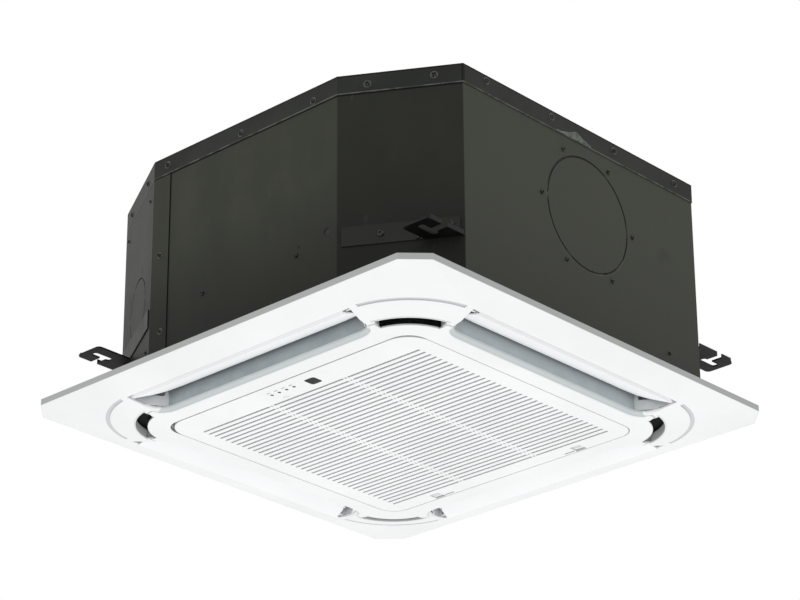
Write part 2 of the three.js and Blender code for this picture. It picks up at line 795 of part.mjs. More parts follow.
function drainHose() {
  const points = [[pumpX, pumpY, pumpTop + 8 + seatGap], [pumpX, pumpY, pumpTop + 38],
    [pumpX - 4, pumpY - 2, drainPortZ - 12], [pumpX - 18, drainPortY, drainPortZ],
    [-casingHalfX + drainPortIn + seatGap, drainPortY, drainPortZ]].map(([x, y, z]) => new THREE.Vector3(x, y, z));
  return tube(new THREE.CatmullRomCurve3(points, false, 'centripetal'), 9, 10, 8);
}

function drainPort() {
  const at = [drainPortY, drainPortZ];
  const outer = drainBore + drainWall;
  const stub = bar('x', outer, -casingHalfX - drainPortOut, -casingHalfX + drainPortIn, at);
  const flange = bar('x', outer + 8, -casingHalfX - seatGap - 3, -casingHalfX - seatGap, at);
  return stub.add(flange).subtract(bar('x', drainBore, -casingHalfX - drainPortOut - 9,
    -casingHalfX + drainPortIn + 9, at));
}

function floatSwitchStem() {
  const foot = sumpFloor + seatGap;
  const capBottom = foot + 1.2 + floatHeight + floatTravel + 1;
  const at = [floatX, floatY];
  return join([bar('z', 8, foot, foot + 1.2, at, 16), bar('z', floatStem, foot, capBottom + 3, at, 12),
    bar('z', 6, capBottom, capBottom + 3, at, 16)]);
}

function floatRing() {
  const bottom = sumpFloor + seatGap + 1.2 + seatGap;
  const at = [floatX, floatY];
  return bar('z', floatRadius, bottom, bottom + floatHeight, at, 20)
    .subtract(bar('z', floatStem + 0.6, bottom - 1, bottom + floatHeight + 1, at, 14));
}

// ---------------------------------------------------------------- control box

const boxTop = boxRecessTop - seatGap;

function controlBox() {
  return block(-boxHalfX, boxHalfX, boxMinY, boxMaxY, boxBottom + boxSheet, boxTop)
    .subtract(block(-boxHalfX + boxSheet, boxHalfX - boxSheet, boxMinY + boxSheet,
      boxMaxY - boxSheet, boxBottom, boxTop - boxSheet));
}

function controlBoxCover() {
  const top = boxBottom + boxSheet - seatGap;
  return block(-boxHalfX, boxHalfX, boxMinY, boxMaxY, top - boxSheet, top);
}

function terminalBlock() {
  const top = boxTop - boxSheet - seatGap;
  const strip = block(-60, 60, 250, 280, top - 20, top);
  const grooves = [];
  for (let x = -45; x <= 45; x += 15) grooves.push(block(x - 1.5, x + 1.5, 255, 275, top - 21, top - 12));
  return cut(strip, grooves);
}

// ---------------------------------------------------------------- facia panel

function openingRing(grow, z, steps = cornerSteps) {
  return roundRing(-openingHalf - grow, openingHalf + grow, -openingHalf - hingeSideGap / 2 - grow,
    openingHalf + grow, openingRadius + grow, z, steps);
}

// The plan of one air outlet on the display side: straight outer edge, leaning ends, round
// inner corners. Grow widens its inner edge and ends.
function outletRing(z, inner, outer, outerHalf, kneeHalf, grow = 0) {
  const kneeA = inner + 32;
  const end = [[outerHalf + grow, outer]];
  const steps = 3;
  const from = new THREE.Vector2(kneeHalf + grow, kneeA);
  const control = new THREE.Vector2(kneeHalf - 4 + grow, inner - grow);
  const to = new THREE.Vector2(kneeHalf - 40, inner - grow);
  const curve = new THREE.QuadraticBezierCurve(from, control, to);
  for (const p of curve.getPoints(steps)) end.push([p.x, p.y]);
  const right = end.map(([u, a]) => new THREE.Vector3(u, -a, z));
  const left = end.map(([u, a]) => new THREE.Vector3(-u, -a, z)).reverse();
  return [...right, ...left];
}

const kneeHalf = outletHalfLength - 9;

function outletRingAt(z, grow) {
  return outletRing(z, outletInner, creaseHalf, outletHalfLength, kneeHalf, grow);
}

// The opening that one outlet makes in the panel, with the bevelled lip of its inner edge.
function outletCutter(side) {
  const deep = plateauZ - 4;
  return toSide(stack([outletRingAt(deep, lipBevel + 4), outletRingAt(lipTopZ, 0), outletRingAt(9, 0)],
    false), side);
}

// The curved outlet across one corner, with a shallow flare at both ends.
function cornerSlotCutter(side) {
  const centre = plateauHalf - plateauRadius;
  const inner = plateauRadius;
  const outer = plateauRadius + cornerSlotWidth;
  const middle = -Math.PI / 4;
  const band = arcBand(centre, -centre, inner, outer, middle - cornerSlotHalfAngle,
    middle + cornerSlotHalfAngle, 8);
  const tools = [prism(band, plateauZ - 4, plateauZ + 20)];
  for (const hand of [-1, 1]) {
    const near = middle + hand * (cornerSlotHalfAngle - 0.01);
    const tip = middle + hand * (cornerSlotHalfAngle + cornerFlareAngle);
    const at = (radius, angle) => [centre + radius * Math.cos(angle), -centre + radius * Math.sin(angle)];
    const points = [at(inner, near), at(outer, near), at(outer + 0.5, tip)];
    const flare = outline(hand > 0 ? [points[0], points[1], points[2]] : [points[0], points[2], points[1]]);
    tools.push(prism(flare, plateauZ - 4, plateauZ + panelSkin - 1.2));
  }
  return toSide(join(tools), side);
}

function cornerGrooveCutter(side) {
  const centre = creaseHalf - creaseRadius;
  const half = cornerGrooveWidth / 2;
  const band = arcBand(centre, -centre, creaseRadius - half, creaseRadius + half,
    -Math.PI / 4 - cornerGrooveHalfAngle, -Math.PI / 4 + cornerGrooveHalfAngle, 8);
  return toSide(prism(band, creaseZ - 4, creaseZ + cornerGrooveDepth), side);
}

function panelSolid() {
  return stack([openingRing(0, 0), openingRing(0, plateauZ),
    squareRing(plateauHalf, plateauRadius, plateauZ), squareRing(creaseHalf, creaseRadius, creaseZ),
    chamferRing(panelHalf, panelChamfer, -panelEdge), chamferRing(panelHalf, panelChamfer, 0)], true);
}

// Everything above the panel's skin, raised by a gap and open at the top.
function aboveSkin(raise, openingGrow) {
  const skin = panelSkin + raise;
  const steps = 4;
  return stack([openingRing(openingGrow, 20, steps), openingRing(openingGrow, plateauZ + skin, steps),
    squareRing(plateauHalf - 2, plateauRadius - 2, plateauZ + skin, steps),
    squareRing(creaseHalf - 2, creaseRadius - 2, creaseZ + skin, steps),
    chamferRing(panelHalf - skin, panelChamfer - 1, -panelEdge + skin, steps),
    chamferRing(panelHalf - skin, panelChamfer - 1, 20, steps)], true);
}

function hingePostPlaces() {
  const places = [];
  for (const x of [-hingeX, hingeX]) {
    for (const hand of [-1, 1]) places.push(x + hand * (knuckleHalf + 0.5 + hingePost / 2));
  }
  return places;
}

function hingePosts() {
  const wall = -openingHalf - hingeSideGap / 2 - 0.5;
  const top = hingePinZ + 9;
  return hingePostPlaces().map((x) => {
    const stem = block(x - hingePost / 2, x + hingePost / 2, hingePinY - 3, hingePinY + 3,
      hingePinZ - 1.7, top);
    const arm = block(x - hingePost / 2, x + hingePost / 2, wall, hingePinY + 3, top - 4, top);
    return stem.add(arm);
  });
}

function panelFrame() {
  const whole = panelSolid();
  const skin = whole.subtract(aboveSkin(0, panelSkin));
  const collars = [];
  const posts = [];
  for (let side = 0; side < 4; side += 1) {
    const ring = stack([outletRingAt(plateauZ - 1, collarWall), outletRingAt(collarTopZ, collarWall)], false);
    collars.push(toSide(ring, side).intersect(whole));
    const at = side % 2 ? [panelPostAt, panelPostAt] : [panelPostAt, -panelPostAt];
    const post = bar('z', panelPostRadius, plateauZ + 1, casingBottom - seatGap, at, 12);
    posts.push(side < 2 ? post : toSide(post, 2));
  }
  const solidFrame = join([skin, ...collars, ...posts, ...hingePosts()]);
  const tools = [];
  for (let side = 0; side < 4; side += 1) {
    tools.push(outletCutter(side), cornerSlotCutter(side), cornerGrooveCutter(side));
    for (const hand of [-1, 1]) {
      const ends = [hand * (outletHalfLength - 4), hand * (outletHalfLength + 7)].sort((a, b) => a - b);
      tools.push(toSide(block(...ends, -louvrePivotA - motorBoss - 1, -louvrePivotA + motorBoss + 1,
        louvrePivotZ - motorBoss - seatGap, 0), side));
    }
  }
  const pinBore = bar('x', hingePinRadius + seatGap, -openingHalf + 20, openingHalf - 20,
    [hingePinY, hingePinZ], 12);
  return cut(solidFrame, [...tools, pinBore]);
}

// The duct that leads air down to one outlet, with a bearing hole at each end for the louvre and
// a window in each end that feeds the corner outlets.
function outletDuct(side) {
  const bottom = collarTopZ + seatGap;
  const topKnee = kneeHalf - 3;
  const level = (grow) => [
    outletRing(bottom, outletInner, creaseHalf + Math.max(grow, 0), outletHalfLength, kneeHalf, grow),
    outletRing(ductBendZ, outletInner, creaseHalf + Math.max(grow, 0), outletHalfLength, kneeHalf, grow),
    outletRing(ductTopZ, ductTopInner, ductTopOuter + Math.max(grow, 0), ductTopHalfLength, topKnee, grow),
  ];
  const shell = stack(level(ductWall), false);
  const inside = level(0);
  inside[0].forEach((p) => p.setZ(bottom - 1));
  inside[2].forEach((p) => p.setZ(ductTopZ + 1));
  const room = block(-outletHalfLength - 9, outletHalfLength + 9, -creaseHalf - 9, -outletInner + 9,
    plateauZ, ductTopZ + 1);
  const belowShell = room.subtract(aboveSkin(seatGap, 0));
  const bearing = louvrePin + seatGap;
  const pivotHole = bar('x', bearing, -outletHalfLength - 9, outletHalfLength + 9,
    [-louvrePivotA, louvrePivotZ], 10).add(block(-outletHalfLength - 9, outletHalfLength + 9,
    -louvrePivotA - bearing, -louvrePivotA + bearing, plateauZ, louvrePivotZ));
  const feed = block(-outletHalfLength - 9, outletHalfLength + 9, -outletInner - 6 - cornerFeedWidth,
    -outletInner - 6, ductTopZ - 5 - cornerFeedHeight, ductTopZ - 5);
  const duct = cut(shell, [stack(inside, false), belowShell, pivotHole, feed]);
  return toSide(duct, side);
}

// ---------------------------------------------------------------- louvres

function louvrePlan() {
  const outerHalf = outletHalfLength - 2 * louvreEndGap + 1;
  const midHalf = kneeHalf - louvreEndGap - 3;
  const right = [new THREE.Vector2(outerHalf, 0), new THREE.Vector2(midHalf, louvreWidth - 30)];
  const curve = new THREE.QuadraticBezierCurve(new THREE.Vector2(midHalf, louvreWidth - 30),
    new THREE.Vector2(midHalf - 3, louvreWidth), new THREE.Vector2(midHalf - 36, louvreWidth));
  right.push(...curve.getPoints(4).slice(1));
  const left = right.map((p) => new THREE.Vector2(-p.x, p.y)).reverse();
  return new THREE.Shape([...right, ...left]);
}

// A louvre lies flat in its own plane: along X, across from its outer edge, and up its back.
function louvre(side) {
  const parts = [prism(louvrePlan(), 0, louvreThick)];
  for (const hand of [-1, 1]) {
    const x = hand * (kneeHalf - 12);
    parts.push(block(x - 3, x + 3, 2, 14, 0.5, louvreOuterFace + 2.6));
    const from = hand > 0 ? x : -outletHalfLength - 1.5;
    const to = hand > 0 ? outletHalfLength + 1.5 : x;
    parts.push(bar('x', louvrePin, from, to, [louvrePivotFromEdge, louvreOuterFace], 10));
  }
  const tilt = louvreClosedTilt + louvreOpen;
  const place = new THREE.Matrix4().makeRotationZ(side * quarter)
    .multiply(new THREE.Matrix4().makeTranslation(0, -louvrePivotA, louvrePivotZ))
    .multiply(new THREE.Matrix4().makeRotationX(tilt))
    .multiply(new THREE.Matrix4().makeTranslation(0, -louvrePivotFromEdge, -louvreOuterFace));
  return moved(join(parts), place);
}

// The stepper motor behind the outlet's end, with its shaft boss off the middle of the can.
function louvreMotor(side) {
  const face = outletHalfLength + 2.2;
  const at = [-louvrePivotA + 5, louvrePivotZ + 9];
  const can = bar('x', motorCan, face + 1, face + 17, at, 16);
  const ears = block(face + 1, face + 2, at[0] - 16, at[0] + 13, at[1] - 3, at[1] + 3);
  const boss = bar('x', motorBoss, face - 0.4, face + 2, [-louvrePivotA, louvrePivotZ], 10);
  return toSide(join([can, ears, boss]), side);
}

// ---------------------------------------------------------------- intake grille

const grilleHalf = openingHalf - grilleGap;
const grilleMinY = -openingHalf - hingeSideGap / 2 + hingeSideGap;
const plateTop = plateauZ + grillePlate;
const rimTop = plateTop + grilleRim;

function grilleOutline(inset) {
  const ring = roundRing(-grilleHalf + inset, grilleHalf - inset, grilleMinY + inset,
    grilleHalf - inset, openingRadius - grilleGap - inset, 0, cornerSteps, hingeSideRadius - inset);
  return new THREE.Shape(ring.map((p) => new THREE.Vector2(p.x, p.y)));
}

// The three spans between the grille's edges and its two cross ribs.
function slotSpans() {
  const rib = slotRib / 2;
  return [[-slotFieldHalfX, -slotRibX - rib], [-slotRibX + rib, slotRibX - rib],
    [slotRibX + rib, slotFieldHalfX]];
}

function intakeGrille() {
  const low = plateauZ - 1;
  const high = plateTop + 1;
  const slots = [];
  for (let row = 0; row < slotCount; row += 1) {
    const y = slotFirstY + row * slotPitch;
    for (const [x0, x1] of slotSpans()) {
      slots.push(block(x0, x1, y - slotWidth / 2, y + slotWidth / 2, low, high));
    }
  }
  const window = windowSize / 2 + seatGap;
  const windowRing = (z) => roundRing(windowX - window, windowX + window, windowY - window,
    windowY + window, 5, z, 4);
  slots.push(stack([windowRing(low), windowRing(high)], false));
  for (let i = 0; i < 4; i += 1) {
    slots.push(bar('z', lensRadius + seatGap, low, high, [lensFirstX + i * lensPitch, lensY], 10));
  }
  const buttonHalf = buttonLength / 2 + seatGap;
  const buttonDeep = buttonWidth / 2 + seatGap;
  const buttonRing = (z) => roundRing(buttonX - buttonHalf, buttonX + buttonHalf, buttonY - buttonDeep,
    buttonY + buttonDeep, 3, z, 4);
  slots.push(stack([buttonRing(low), buttonRing(high)], false));
  const plate = cut(prism(grilleOutline(0), plateauZ, plateTop), slots);

  const rim = prism(grilleOutline(0), plateTop - 0.5, rimTop)
    .subtract(prism(grilleOutline(grilleRimThick), plateTop - 1, rimTop + 1));
  const backRibs = [-slotRibX, slotRibX].map(
    (x) => block(x - 2, x + 2, filterMinY - 3, filterMaxY + 3, plateTop - 0.5, filterZ - seatGap));
  const bosses = boardBosses.map(([x, y]) => bar('z', 2.5, plateTop - 0.5, boardZ - seatGap, [x, y], 8));
  const knuckles = [-hingeX, hingeX].map((x) => bar('x', -plateauZ + hingePinZ, x - knuckleHalf,
    x + knuckleHalf, [hingePinY, hingePinZ], 12));
  const notches = hingePostPlaces().map((x) => block(x - 2, x + 2, grilleMinY - 1, hingePinY + 4,
    plateauZ - 1, rimTop + 1));
  const pinBore = bar('x', hingePinRadius + seatGap, -hingeX - 20, hingeX + 20, [hingePinY, hingePinZ], 12);
  const pinSpace = pinBore.intersect(join([-hingeX, hingeX].map(
    (x) => block(x - 12, x + 12, hingePinY - 9, hingePinY + 9, plateauZ - 1, rimTop))));
  const latchHoles = [-latchX, latchX].flatMap((x) => [
    block(x - latchWidth / 2 - seatGap, x + latchWidth / 2 + seatGap, latchMinY - latchTravel - 1,
      grilleHalf - 1, plateauZ - 1, rimTop + 1),
    block(x - latchWidth / 2 - 4, x + latchWidth / 2 + 4, grilleHalf - 4, grilleHalf + 1, plateTop,
      rimTop + 1),
    block(Math.sign(x) * 148 - 11, Math.sign(x) * 148 + 11, 293, 294.6, plateauZ - 1, plateauZ + 0.8),
  ]);
  return cut(join([plate, rim, ...backRibs, ...bosses, ...knuckles]), [...notches, pinSpace, ...latchHoles]);
}

function hingePin(x) {
  const reach = knuckleHalf + 0.5 + hingePost;
  return bar('x', hingePinRadius, x - reach, x + reach, [hingePinY, hingePinZ], 12);
}

// Air filter: a thin frame with a fine mesh sheet and bars, laid on the back of the grille.
const filterMinY = -238;
const filterMaxY = 268;
const filterHalfX = 272;
const filterZ = -30.7;
const filterThick = 3;
const filterBorder = 8;
const filterMesh = 0.8;

function airFilter() {
  const slab = block(-filterHalfX, filterHalfX, filterMinY, filterMaxY, filterZ, filterZ + filterThick);
  const pockets = [];
  const columns = 4;
  const rows = 4;
  const barWidth = 4;
  const width = (2 * (filterHalfX - filterBorder) - (columns - 1) * barWidth) / columns;
  const depth = (filterMaxY - filterMinY - 2 * filterBorder - (rows - 1) * barWidth) / rows;
  for (let i = 0; i < columns; i += 1) {
    for (let j = 0; j < rows; j += 1) {
      const x = -filterHalfX + filterBorder + i * (width + barWidth);
      const y = filterMinY + filterBorder + j * (depth + barWidth);
      pockets.push(block(x, x + width, y, y + depth, filterZ + filterMesh, filterZ + filterThick + 1));
    }
  }
  return cut(slab, pockets);
}

const latchMaxY = grilleHalf - 1 - latchEndGap;
const latchMinY = latchMaxY - latchDepth;

// The latch slides back towards the middle of the grille. Its face sits in a recess of the edge.
function grilleLatch(x) {
  const half = latchWidth / 2;
  const pad = block(x - half, x + half, latchMinY, latchMaxY, plateauZ + 2.6, plateTop + seatGap + 1);
  const slide = block(x - half - 3, x + half + 3, latchMinY - 4, latchMaxY, plateTop + seatGap,
    plateTop + seatGap + 2);
  const grip = block(x - half + 3, x + half - 3, latchMinY + 4, latchMinY + 5.5, plateauZ + 1.6, plateauZ + 3);
  return join([pad, slide, grip]);
}

const boardZ = -33;
const boardBosses = [[-62, -256], [59, -247]];

function displayBoard() {
  return block(-68, 64, -285, -243.5, boardZ, boardZ + 1.6);
}

function receiverWindow() {
  const half = windowSize / 2;
  const ring = (reach, radius, z) => roundRing(windowX - reach, windowX + reach, windowY - reach,
    windowY + reach, radius, z, 4);
  const pane = stack([ring(half - 0.6, 4.2, plateauZ), ring(half, 4.8, plateauZ + 0.6),
    ring(half, 4.8, plateTop + seatGap + 1)], false);
  const flange = stack([ring(half + 2, 6, plateTop + seatGap), ring(half + 2, 6, boardZ - seatGap)], false);
  return pane.add(flange);
}

function indicatorLenses() {
  const lenses = [];
  const last = lensFirstX + 3 * lensPitch;
  for (let i = 0; i < 4; i += 1) {
    lenses.push(bar('z', lensRadius, plateauZ, plateTop + 1.5, [lensFirstX + i * lensPitch, lensY], 10));
  }
  const back = block(lensFirstX - 4, last + 4, lensY - 3.6, lensY + 3.6, plateTop + seatGap, boardZ - seatGap);
  return join([...lenses, back]);
}

function manualButton() {
  const ring = (grow, z) => roundRing(buttonX - buttonLength / 2 - grow, buttonX + buttonLength / 2 + grow,
    buttonY - buttonWidth / 2 - grow, buttonY + buttonWidth / 2 + grow, 2.7 + grow, z, 4);
  const stem = stack([ring(0, plateauZ - 0.4), ring(0, plateTop + 1)], false);
  const lip = stack([ring(1, plateTop + seatGap), ring(1, boardZ - seatGap - buttonTravel - 0.4)], false);
  return stem.add(lip);
}

function bodyGasket() {
  const outer = stack([openingRing(11, seatGap, 3), openingRing(11, casingBottom - seatGap, 3)], false);
  return outer.subtract(stack([openingRing(0.5, 0, 3), openingRing(0.5, casingBottom, 3)], false));
}

// ---------------------------------------------------------------- the assembly

const airConditioner = new THREE.Group();
const add = (name, shape, finish) => airConditioner.add(piece(name, shape, finish));

add('casing_wall', casingWall(), finishes.casing);
add('casing_top', casingTopCap(), finishes.casing);
add('corner_cover', cornerCover(), finishes.casing);
add('pipe_plate', pipePlate(), finishes.casing);
add('foam_liner', foamLiner(), finishes.foam);

const coverLift = seatGap + sheet + seatGap;
add('hanger_near', hangerBracket(1, -1, corners[6], corners[7], nearHangerReach, seatGap),
  finishes.bracket);
add('hanger_pipe', hangerBracket(-1, -1, corners[4], corners[5], pipeHangerReach, coverLift),
  finishes.bracket);
add('hanger_right', hangerBracket(1, 1, corners[0], corners[1], latchHangerReach, seatGap),
  finishes.bracket);
add('hanger_far', hangerBracket(-1, 1, corners[2], corners[3], latchHangerReach, seatGap),
  finishes.bracket);

add('motor_plate', motorPlate(), finishes.zinc);
for (let i = 0; i < 3; i += 1) add(`rubber_mount_${i + 1}`, rubberMount(i), finishes.rubber);
add('fan_motor', fanMotor(), finishes.motor);
add('motor_shaft', motorShaft(), finishes.zinc);
add('turbo_fan', turboFan(), finishes.fan);
add('fan_nut', fanNut(), finishes.brass);
add('bell_mouth', bellMouthRing(), finishes.plastic);

add('heat_exchanger', heatExchanger(), finishes.aluminium);
add('bend_end_plate', bendEndPlate(), finishes.copper);
add('pipe_end_plate', pipeEndPlate(), finishes.zinc);
add('gas_pipe', pipe(gasPipeRadius, gasPipeZ), finishes.copper);
add('liquid_pipe', pipe(liquidPipeRadius, liquidPipeZ), finishes.copper);
add('gas_flare_nut', flareNut(gasPipeRadius, gasPipeZ), finishes.brass);
add('liquid_flare_nut', flareNut(liquidPipeRadius, liquidPipeZ), finishes.brass);

add('drain_pan', drainPan(), finishes.styrene);
add('drain_pump', drainPump(), finishes.motor);
add('drain_hose', drainHose(), finishes.rubber);
add('drain_port', drainPort(), finishes.plastic);
add('float_stem', floatSwitchStem(), finishes.plastic);
add('float_ring', floatRing(), finishes.plastic);

add('control_box', controlBox(), finishes.zinc);
add('control_box_cover', controlBoxCover(), finishes.zinc);
add('terminal_block', terminalBlock(), finishes.plastic);

add('body_gasket', bodyGasket(), finishes.foam);
add('panel_frame', panelFrame(), finishes.panel);
['display', 'knockout', 'latch', 'pipe'].forEach((side, i) => {
  add(`outlet_duct_${side}`, outletDuct(i), finishes.duct);
  add(`louvre_${side}`, louvre(i), finishes.panel);
  add(`louvre_motor_${side}`, louvreMotor(i), finishes.plastic);
});

add('hinge_pin_left', hingePin(-hingeX), finishes.zinc);
add('hinge_pin_right', hingePin(hingeX), finishes.zinc);
add('intake_grille', intakeGrille(), finishes.panel);
add('air_filter', airFilter(), finishes.filter);
add('grille_latch_left', grilleLatch(-latchX), finishes.panel);
add('grille_latch_right', grilleLatch(latchX), finishes.panel);
add('display_board', displayBoard(), finishes.board);
add('receiver_window', receiverWindow(), finishes.lens);
add('indicator_lenses', indicatorLenses(), finishes.lens);
add('manual_button', manualButton(), finishes.panel);

export default airConditioner;
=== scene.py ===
from math import cos, hypot, pi, radians, sin

import bmesh
import bpy
from mathutils import Matrix, Vector, noise


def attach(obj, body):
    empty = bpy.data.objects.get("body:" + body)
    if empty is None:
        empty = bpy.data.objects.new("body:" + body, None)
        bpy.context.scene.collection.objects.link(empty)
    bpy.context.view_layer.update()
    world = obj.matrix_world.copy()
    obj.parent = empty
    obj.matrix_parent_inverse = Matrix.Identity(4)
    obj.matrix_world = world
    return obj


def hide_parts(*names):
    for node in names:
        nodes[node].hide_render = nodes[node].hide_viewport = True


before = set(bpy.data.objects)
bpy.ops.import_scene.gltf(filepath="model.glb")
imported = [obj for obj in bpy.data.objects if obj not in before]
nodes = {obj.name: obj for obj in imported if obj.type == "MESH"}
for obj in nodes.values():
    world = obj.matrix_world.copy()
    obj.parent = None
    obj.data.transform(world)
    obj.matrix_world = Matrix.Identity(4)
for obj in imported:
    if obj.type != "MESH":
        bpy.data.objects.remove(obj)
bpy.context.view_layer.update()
scene = bpy.context.scene
mm = 0.001


# ---- camera
# The photograph looks up at the unit from below its display corner with a long lens. The camera
# was fitted to the four corners of the facia panel.

camera = bpy.data.objects.new("camera", bpy.data.cameras.new("camera"))
camera.data.lens = 132.15
camera.data.sensor_width = 36
camera.data.clip_end = 60
camera.matrix_world = (Matrix.Translation((3.3139, -3.5739, -2.0514))
                       @ Matrix.Rotation(radians(42.841), 4, "Z")
                       @ Matrix.Rotation(radians(114.945), 4, "X")
                       @ Matrix.Rotation(radians(-0.354), 4, "Z"))
scene.collection.objects.link(camera)
scene.camera = camera


# ---- studio
# A white room: an even sky, a wide soft light from below for the underside, and a weaker one on
# the left that brightens the display side. The camera and mirror-like surfaces see plain white.

def rgb(red, green, blue):
    """A colour picked on screen, as the linear colour that a shader takes."""
    channels = [v / 255 for v in (red, green, blue)]
    linear = [v / 12.92 if v <= 0.04045 else ((v + 0.055) / 1.055) ** 2.4 for v in channels]
    return (*linear, 1.0)


def sum_of(operation):
    """A method that does one sum on a socket and another socket or number."""
    return lambda self, other: self.math(operation, self, other)


class Sock:
    """A shader socket. Arithmetic on it adds the nodes that do the sum."""

    __add__ = __radd__ = sum_of("ADD")
    __mul__ = __rmul__ = sum_of("MULTIPLY")
    __sub__ = sum_of("SUBTRACT")
    __pow__ = sum_of("POWER")
    most = sum_of("MAXIMUM")
    least = sum_of("MINIMUM")

    def __init__(self, tree, out=None):
        self.tree = tree
        self.out = out

    def node(self, kind, settings, inputs, out=0):
        """Any node: its settings first, then its values and links, and the socket to go on from."""
        made = self.tree.nodes.new("ShaderNode" + kind)
        for key, value in settings.items():
            setattr(made, key, value)
        for key, value in inputs.items():
            if isinstance(value, Sock):
                self.tree.links.new(value.out, made.inputs[key])
            else:
                made.inputs[key].default_value = value
        return Sock(self.tree, made.outputs[out])

    def pick(self, out):
        return Sock(self.tree, self.out.node.outputs[out])

    def math(self, operation, *values):
        return self.node("Math", {"operation": operation}, dict(enumerate(values)))

    def size(self):
        return self.math("ABSOLUTE", self)

    def wave(self):
        return self.math("SINE", self)

    def reach(self, other):
        """The length of an arrow whose two parts are this and the other."""
        return (self ** 2 + other ** 2) ** 0.5

    def ramp(self, low, high):
        """0 below low, 1 above high, smooth between."""
        settings = {"interpolation_type": "SMOOTHSTEP"}
        if low < high:
            return self.node("MapRange", settings, {0: self, 1: low, 2: high})
        return self.node("MapRange", settings, {0: self, 1: high, 2: low, 3: 1.0, 4: 0.0})

    def band(self, centre, half, soft):
        """1 within half of the centre, fading to 0 over soft."""
        return (self - centre).size().ramp(half + soft, half)

    def blend(self, low, high):
        """The colour low where this is 0 and high where it is 1."""
        low, high = (c if isinstance(c, Sock) else rgb(*c) for c in (low, high))
        return self.node("Mix", {"data_type": "RGBA"}, {0: self, 6: low, 7: high}, 2)

    def place(self):
        return self.node("TexCoord", {}, {}, "Object")

    def axes(self):
        split = self.node("SeparateXYZ", {}, {0: self.place()})
        return split, split.pick(1), split.pick(2)

    def grain(self, scale, detail=3.0, stretch=(1, 1, 1)):
        spread = self.node("Mapping", {}, {0: self.place(), 3: stretch})
        return self.node("TexNoise", {}, {"Vector": spread, "Scale": scale, "Detail": detail,
                                          "Roughness": 0.55})

    def coat(self, colour, roughness, height, strength, distance):
        """What a paint varies: its colour, its roughness, and a bump from the height."""
        bump = {"Strength": strength, "Distance": distance, "Height": height}
        return {"Base Color": colour, "Roughness": roughness,
                "Normal": self.node("Bump", {}, bump, "Normal")}


scene.view_settings.view_transform = "Standard"
world = bpy.data.worlds.new("studio")
scene.world = world
world.use_nodes = True
sky_tree = world.node_tree
sky_tree.nodes.clear()
sky = Sock(sky_tree)
ray = sky.node("LightPath", {}, {})
seen = ray.pick("Is Glossy Ray").most(ray.pick("Is Transmission Ray"))
seen = ray.pick("Is Camera Ray").most(seen)
room_light, plain_white = (sky.node("Background", {}, {"Color": (1, 1, 1, 1), "Strength": strength})
                           for strength in (0.78, 1.0))
choice = sky.node("MixShader", {}, {0: seen, 1: room_light, 2: plain_white})
sky_tree.links.new(choice.out, sky_tree.nodes.new("ShaderNodeOutputWorld").inputs["Surface"])


def softbox(name, place, aim, size, power):
    light = bpy.data.objects.new(name, bpy.data.lights.new(name, "AREA"))
    light.data.size = size
    light.data.energy = power
    light.location = place
    light.rotation_euler = (Vector(aim) - Vector(place)).to_track_quat("-Z", "Y").to_euler()
    light.visible_camera = False
    scene.collection.objects.link(light)


softbox("light_below", (0.0, 0.1, -2.3), (0.0, 0.1, 0.0), 3.6, 36)
softbox("light_left", (0.2, -4.4, 0.9), (0.0, 0.0, 0.1), 2.4, 13)


# ---- floor
# A pale painted studio floor, far enough below to leave only soft bounce light on the unit.

def material(name, make, **constants):
    """A new material. make(s) returns what is linked to the shader, constants are set on it."""
    made = bpy.data.materials.new(name)
    made.use_nodes = True
    tree = made.node_tree
    shader = tree.nodes["Principled BSDF"]
    for key, value in constants.items():
        shader.inputs[key.replace("_", " ").title().replace("Ior", "IOR")].default_value = value
    for key, value in make(Sock(tree)).items():
        tree.links.new(value.out, shader.inputs[key])
    return made


def mesh_piece(name, shape, finish):
    """A piece from (points in mm, faces), with every face turned outwards."""
    points, faces = shape
    mesh = bpy.data.meshes.new(name)
    mesh.from_pydata([(x * mm, y * mm, z * mm) for x, y, z in points], [], faces)
    work = bmesh.new()
    work.from_mesh(mesh)
    bmesh.ops.recalc_face_normals(work, faces=work.faces)
    work.to_mesh(mesh)
    work.free()
    mesh.materials.append(finish)
    made = bpy.data.objects.new(name, mesh)
    scene.collection.objects.link(made)
    return made


def mottled(name, cloud, span, low, high, rough, grit, **constants):
    """A material that wanders between two colours with a cloud of noise, under a fine bump.

    cloud is the noise's scale and detail, span what part of it counts, rough the roughness and how
    much the cloud adds, and grit the fine noise's scale, detail, strength and depth.
    """
    def make(s):
        tone = s.grain(*cloud)
        return s.coat(tone.ramp(*span).blend(low, high),
                      rough[0] + tone * rough[1], s.grain(*grit[:2]), *grit[2:])

    return material(name, make, **constants)


floor_half = 45000
floor_z = -4600
floor_points = [(x * floor_half, y * floor_half, floor_z)
                for x, y in ((-1, -1), (1, -1), (1, 1), (-1, 1))]
floor_paint = mottled("floor_paint", (1.6, 3.0), (0.3, 0.7), (236, 236, 235), (241, 241, 240),
                      (0.55, 0.15), (160.0, 2.0, 0.1, 0.001))
floor = mesh_piece("floor", (floor_points, [(0, 1, 2, 3)]), floor_paint)


# ---- casing
# Eight-sided housing of folded sheet steel in dark olive grey paint, satin, with dull patches,
# scuffs, stains, painted shade and painted light. A top cap folds down over it, and plates close
# the pipe side.

casing_half_x = 420
casing_half_y = 405
corners = [(420, 338), (308, 405), (-308, 405), (-420, 338), (-420, -297), (-228, -405),
           (232, -405), (420, -292)]
fresh_air = (33, 256, 108.7)
near_normal = (0.5152, -0.8571)
pipe_normal = (-0.4903, -0.8715)
smear_at = (0.250, 0.244)


def carry_over(finish, *names):
    """CAD nodes that keep their shape and get a better material."""
    for name in names:
        for place in nodes[name].material_slots:
            place.material = finish
        if not nodes[name].material_slots:
            nodes[name].data.materials.append(finish)


